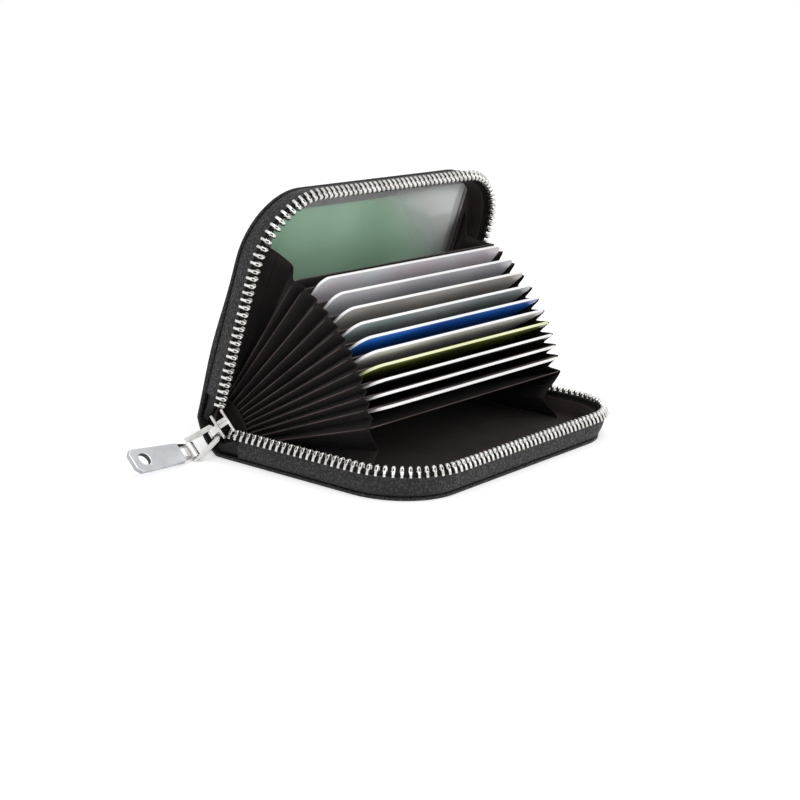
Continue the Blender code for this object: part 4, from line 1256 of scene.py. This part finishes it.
def ring_bar(outer, inner, half_thickness):
    """A flat frame between two outlines."""
    bm = bmesh.new()
    loops = closed_loop(bm, outer, -half_thickness) + closed_loop(bm, inner, -half_thickness)
    made = bmesh.ops.bridge_loops(bm, edges=loops)
    raise_faces(bm, made["faces"], 2 * half_thickness)
    bmesh.ops.recalc_face_normals(bm, faces=bm.faces)
    return bm


# Half widths at the near and the far end, and the cut of the corners
LINK_OUTER = (2.7 * MM, 3.9 * MM, 0.6 * MM)
LINK_INNER = (1.3 * MM, 2.4 * MM, 0.2 * MM)
LINK_RAIL_BORDER = 0.34 * MM
LINK_GROOVE_SLOPE = 0.1 * MM
LINK_GROOVE_DEPTH = 0.26 * MM
LINK_ROUND = 0.16 * MM


def link_outline(near, far, form):
    """An outline that is wider at its far end."""
    near_half, far_half, cut = form
    side = [(near, near_half - cut), (near + cut, near_half), (far - cut, far_half), (far, far_half - cut)]
    return [(y, -z) for y, z in side] + side[::-1]


def add_link():
    """The link is a flat loop with a groove along each side of its rails."""
    bar = LINK_BAR / 2
    far = LINK_LENGTH - bar
    bm = ring_bar(link_outline(-bar, far, LINK_OUTER), link_outline(bar, far - LINK_BAR, LINK_INNER), bar)
    for direction in (-1, 1):
        flats = [f for f in bm.faces if f.normal.z * direction > FACING_SHARE]
        bmesh.ops.inset_region(bm, faces=flats, thickness=LINK_RAIL_BORDER, depth=0)
        bmesh.ops.inset_region(bm, faces=flats, thickness=LINK_GROOVE_SLOPE, depth=-LINK_GROOVE_DEPTH)
    for vert in bm.verts:
        vert.co.y -= LINK_SAG * max(0, vert.co.x) / LINK_LENGTH
    metal_part("pull_link_loop", bm, link_matrix() @ STAND, "link", "pull_link", rounding=LINK_ROUND)


TAB_OUTLINE = mirrored(in_mm(((4.5, 2.7), (5.3, 3.1), (20.9, 3.6), (22.5, 3.6), (23.95, 2.2))))
TAB_HALF_THICKNESS = 0.7 * MM
TAB_ROUND = 0.34 * MM
HOLE_PLACE = 19.35 * MM
HOLE_RADII = (1.9 * MM, 1.75 * MM)
HOLE_SIDES = 24
HOLE_REACH = 2.3 * MM
HOLE_SIDE, PLATE_SIDE = 1, 2
ARM_OUTLINE = ((1.0, 1.5), (5.0, 1.5), (5.0, 2.8), (1.0, 2.3))
ARM_HALF_THICKNESS = 0.55 * MM
ARM_ROUND = 0.15 * MM
BAND_RADIUS = 1.5 * MM
BAND_INNER_RADIUS = 0.99 * MM
BAND_SIDES = 16
BAND_HALF_WIDTH = 2.2 * MM
BAND_ROUND = 0.14 * MM


def hang(bm):
    """The puller hangs a little to one side on its loose link."""
    for vert in bm.verts:
        vert.co.y -= LINK_SAG * (1 - vert.co.x / TAB_LENGTH)


def add_tab():
    """The puller: a rolled band round the link, two arms, and a bevelled plate with a hole."""
    bm = bmesh.new()
    edges = closed_loop(bm, TAB_OUTLINE, -TAB_HALF_THICKNESS)
    edges += closed_loop(bm, oval(HOLE_PLACE, *HOLE_RADII, HOLE_SIDES, turned=0.5), -TAB_HALF_THICKNESS)
    filled = bmesh.ops.triangle_fill(bm, edges=edges, use_beauty=True)
    faces = [item for item in filled["geom"] if isinstance(item, bmesh.types.BMFace)]
    raise_faces(bm, faces, 2 * TAB_HALF_THICKNESS)
    bmesh.ops.dissolve_limit(bm, angle_limit=math.radians(1), verts=bm.verts, edges=bm.edges)
    bmesh.ops.recalc_face_normals(bm, faces=bm.faces)
    # Side faces: the hole's wall takes the dark nickel, painted shade
    for face in bm.faces:
        if abs(face.normal.z) < 0.5:
            middle = face.calc_center_median()
            inside = math.hypot(middle.x - HOLE_PLACE, middle.y) < HOLE_REACH
            face.material_index = HOLE_SIDE if inside else PLATE_SIDE
    hang(bm)
    seat = tab_matrix() @ STAND
    # The plate's faces take the near-white satin nickel, a painted reflection, and its sides the darker copy,
    # painted shade
    metal_part("pull_tab_plate", bm, seat, "tab", "pull_tab", rounding=TAB_ROUND,
               material=["satin", "recess_shade", "edge"])

    for side, name in ((-1, "left"), (1, "right")):
        outline = [(along, side * across) for along, across in in_mm(ARM_OUTLINE)]
        arm = slab(outline, -ARM_HALF_THICKNESS, ARM_HALF_THICKNESS)
        hang(arm)
        metal_part("pull_tab_arm_" + name, arm, seat, "tab", rounding=ARM_ROUND)

    rings = [oval(0, radius, radius, BAND_SIDES) for radius in (BAND_RADIUS, BAND_INNER_RADIUS)]
    bm = ring_bar(*rings, BAND_HALF_WIDTH)
    bmesh.ops.translate(bm, verts=bm.verts, vec=(0, 0, -LINK_SAG))
    metal_part("pull_tab_band", bm, tab_matrix(), "tab", rounding=BAND_ROUND)


# Studio

CAMERA_AZIMUTH = math.radians(-53.978)
CAMERA_ELEVATION = math.radians(14.544)
CAMERA_ROLL = math.radians(2.955)
CAMERA_DISTANCE = 450.8 * MM
CAMERA_TARGET = Vector((-43.91 * MM, -21.27 * MM, 25.0 * MM))
CAMERA_LENS = 78.839
CAMERA_SENSOR_WIDTH = 36
CAMERA_CLIP_START = 10 * MM


def add_camera():
    a, e, r = CAMERA_AZIMUTH, CAMERA_ELEVATION, CAMERA_ROLL
    look = Vector((-math.sin(a) * math.cos(e), math.cos(a) * math.cos(e), -math.sin(e)))
    level = Vector((math.cos(a), math.sin(a), 0))
    over = level.cross(look)
    right = level * math.cos(r) + over * math.sin(r)
    up = over * math.cos(r) - level * math.sin(r)
    data = bpy.data.cameras.new("photo_camera")
    data.lens = CAMERA_LENS
    data.sensor_width = CAMERA_SENSOR_WIDTH
    data.clip_start = CAMERA_CLIP_START
    camera = bpy.data.objects.new("photo_camera", data)
    bpy.context.scene.collection.objects.link(camera)
    turn = Matrix((right, up, -look)).transposed().to_4x4()
    camera.matrix_world = Matrix.Translation(CAMERA_TARGET - look * CAMERA_DISTANCE) @ turn
    bpy.context.scene.camera = camera


# Places, sizes and powers of the lamps, which point at the wallet's middle
LAMPS = {
    "key_light": ((-0.35, -0.35, 0.55), 0.5, 1.9),
    "fill_light": ((0.45, -0.5, 0.35), 0.4, 0.6),
}
LAMP_TARGET = (0, 0, 0.02)
FLOOR_REACH = 3.0
FLOOR_DROP = 0.05 * MM


def add_lamp(name, place, size, power):
    data = bpy.data.lights.new(name, "AREA")
    data.shape = "RECTANGLE"
    data.size = size
    data.size_y = size
    data.energy = power
    lamp = bpy.data.objects.new(name, data)
    bpy.context.scene.collection.objects.link(lamp)
    lamp.location = place
    lamp.rotation_mode = "QUATERNION"
    lamp.rotation_quaternion = (Vector(LAMP_TARGET) - Vector(place)).to_track_quat("-Z", "Y")


def looking_rays(tree):
    """One for a ray that shows the background: seen straight, in a reflection or through the film."""
    rays = node(tree, "ShaderNodeLightPath").outputs
    seen = rays["Is Camera Ray"]
    for kind in ("Is Transmission Ray", "Is Glossy Ray"):
        either = node(tree, "ShaderNodeMath", {"operation": "MAXIMUM"}, {0: seen, 1: rays[kind]})
        seen = either.outputs["Value"]
    return seen


def add_light_tent():
    """An even white background that lights less than it shows."""
    world = bpy.data.worlds.new("light_tent")
    bpy.context.scene.world = world
    world.use_nodes = True
    tree = world.node_tree
    soft = node(tree, "ShaderNodeBackground", inputs={"Color": colour("ffffff"), "Strength": 0.75})
    white = node(tree, "ShaderNodeBackground", inputs={"Color": colour("ffffff"), "Strength": 1.0})
    mixed = node(tree, "ShaderNodeMixShader", inputs={
        0: looking_rays(tree), 1: soft.outputs["Background"], 2: white.outputs["Background"]})
    fill(tree, tree.nodes["World Output"], {"Surface": mixed.outputs["Shader"]})


def add_floor():
    """White paper under the wallet, lifted by a glow to the photo's white where it is seen."""
    bm = bmesh.new()
    bmesh.ops.create_grid(bm, x_segments=1, y_segments=1, size=FLOOR_REACH)
    mesh = bpy.data.meshes.new("white_sweep")
    bm.to_mesh(mesh)
    bm.free()
    floor = bpy.data.objects.new("white_sweep", mesh)
    floor.location.z = -FLOOR_DROP
    bpy.context.scene.collection.objects.link(floor)
    material, tree, shader, _ = new_material("matte_white_paper")
    fill(tree, shader, {"Base Color": colour("f4f4f4"), "Roughness": 0.9, "Specular IOR Level": 0.1})
    dim = node(tree, "ShaderNodeBsdfDiffuse", inputs={"Color": (0.9, 0.9, 0.9, 1)})
    glow = node(tree, "ShaderNodeEmission", inputs={"Color": colour("ffffff"), "Strength": 0.34})
    both = node(tree, "ShaderNodeAddShader", inputs={0: dim.outputs["BSDF"], 1: glow.outputs["Emission"]})
    choice = node(tree, "ShaderNodeMixShader", inputs={
        0: looking_rays(tree), 1: shader.outputs["BSDF"], 2: both.outputs["Shader"]})
    fill(tree, tree.nodes["Material Output"], {"Surface": choice.outputs["Shader"]})
    mesh.materials.append(material)


def add_studio():
    add_light_tent()
    add_floor()
    for name, (place, size, power) in LAMPS.items():
        add_lamp(name, place, size, power)
    bpy.context.scene.view_settings.view_transform = "Standard"


def finish_cad_nodes():
    """The solids that are shown as they are, in this scene's materials."""
    for material, names in (("board", ("lower_board", "upper_board")),
                            ("nickel", ("lower_top_stop", "upper_top_stop", "zip_bottom_stop"))):
        for name in names:
            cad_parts[name].data.materials[0] = MATERIALS[material]


def main():
    add_outer_leather()
    for half in (LOWER, UPPER):
        add_stitching(half)
        add_side_wall(half)
        add_end_tabs(half)
        add_zip_tape(half)
        add_teeth(half)
        add_lining(half)
    for number in range(len(FAN_SHARES)):
        add_divider(number)
    for index in range(len(CARD_FACES)):
        add_card(index)
    add_gusset_folds()
    add_back_strip()
    add_gusset_gores()
    add_window()
    add_slider()
    add_link()
    add_tab()
    finish_cad_nodes()
    add_camera()
    add_studio()


main()
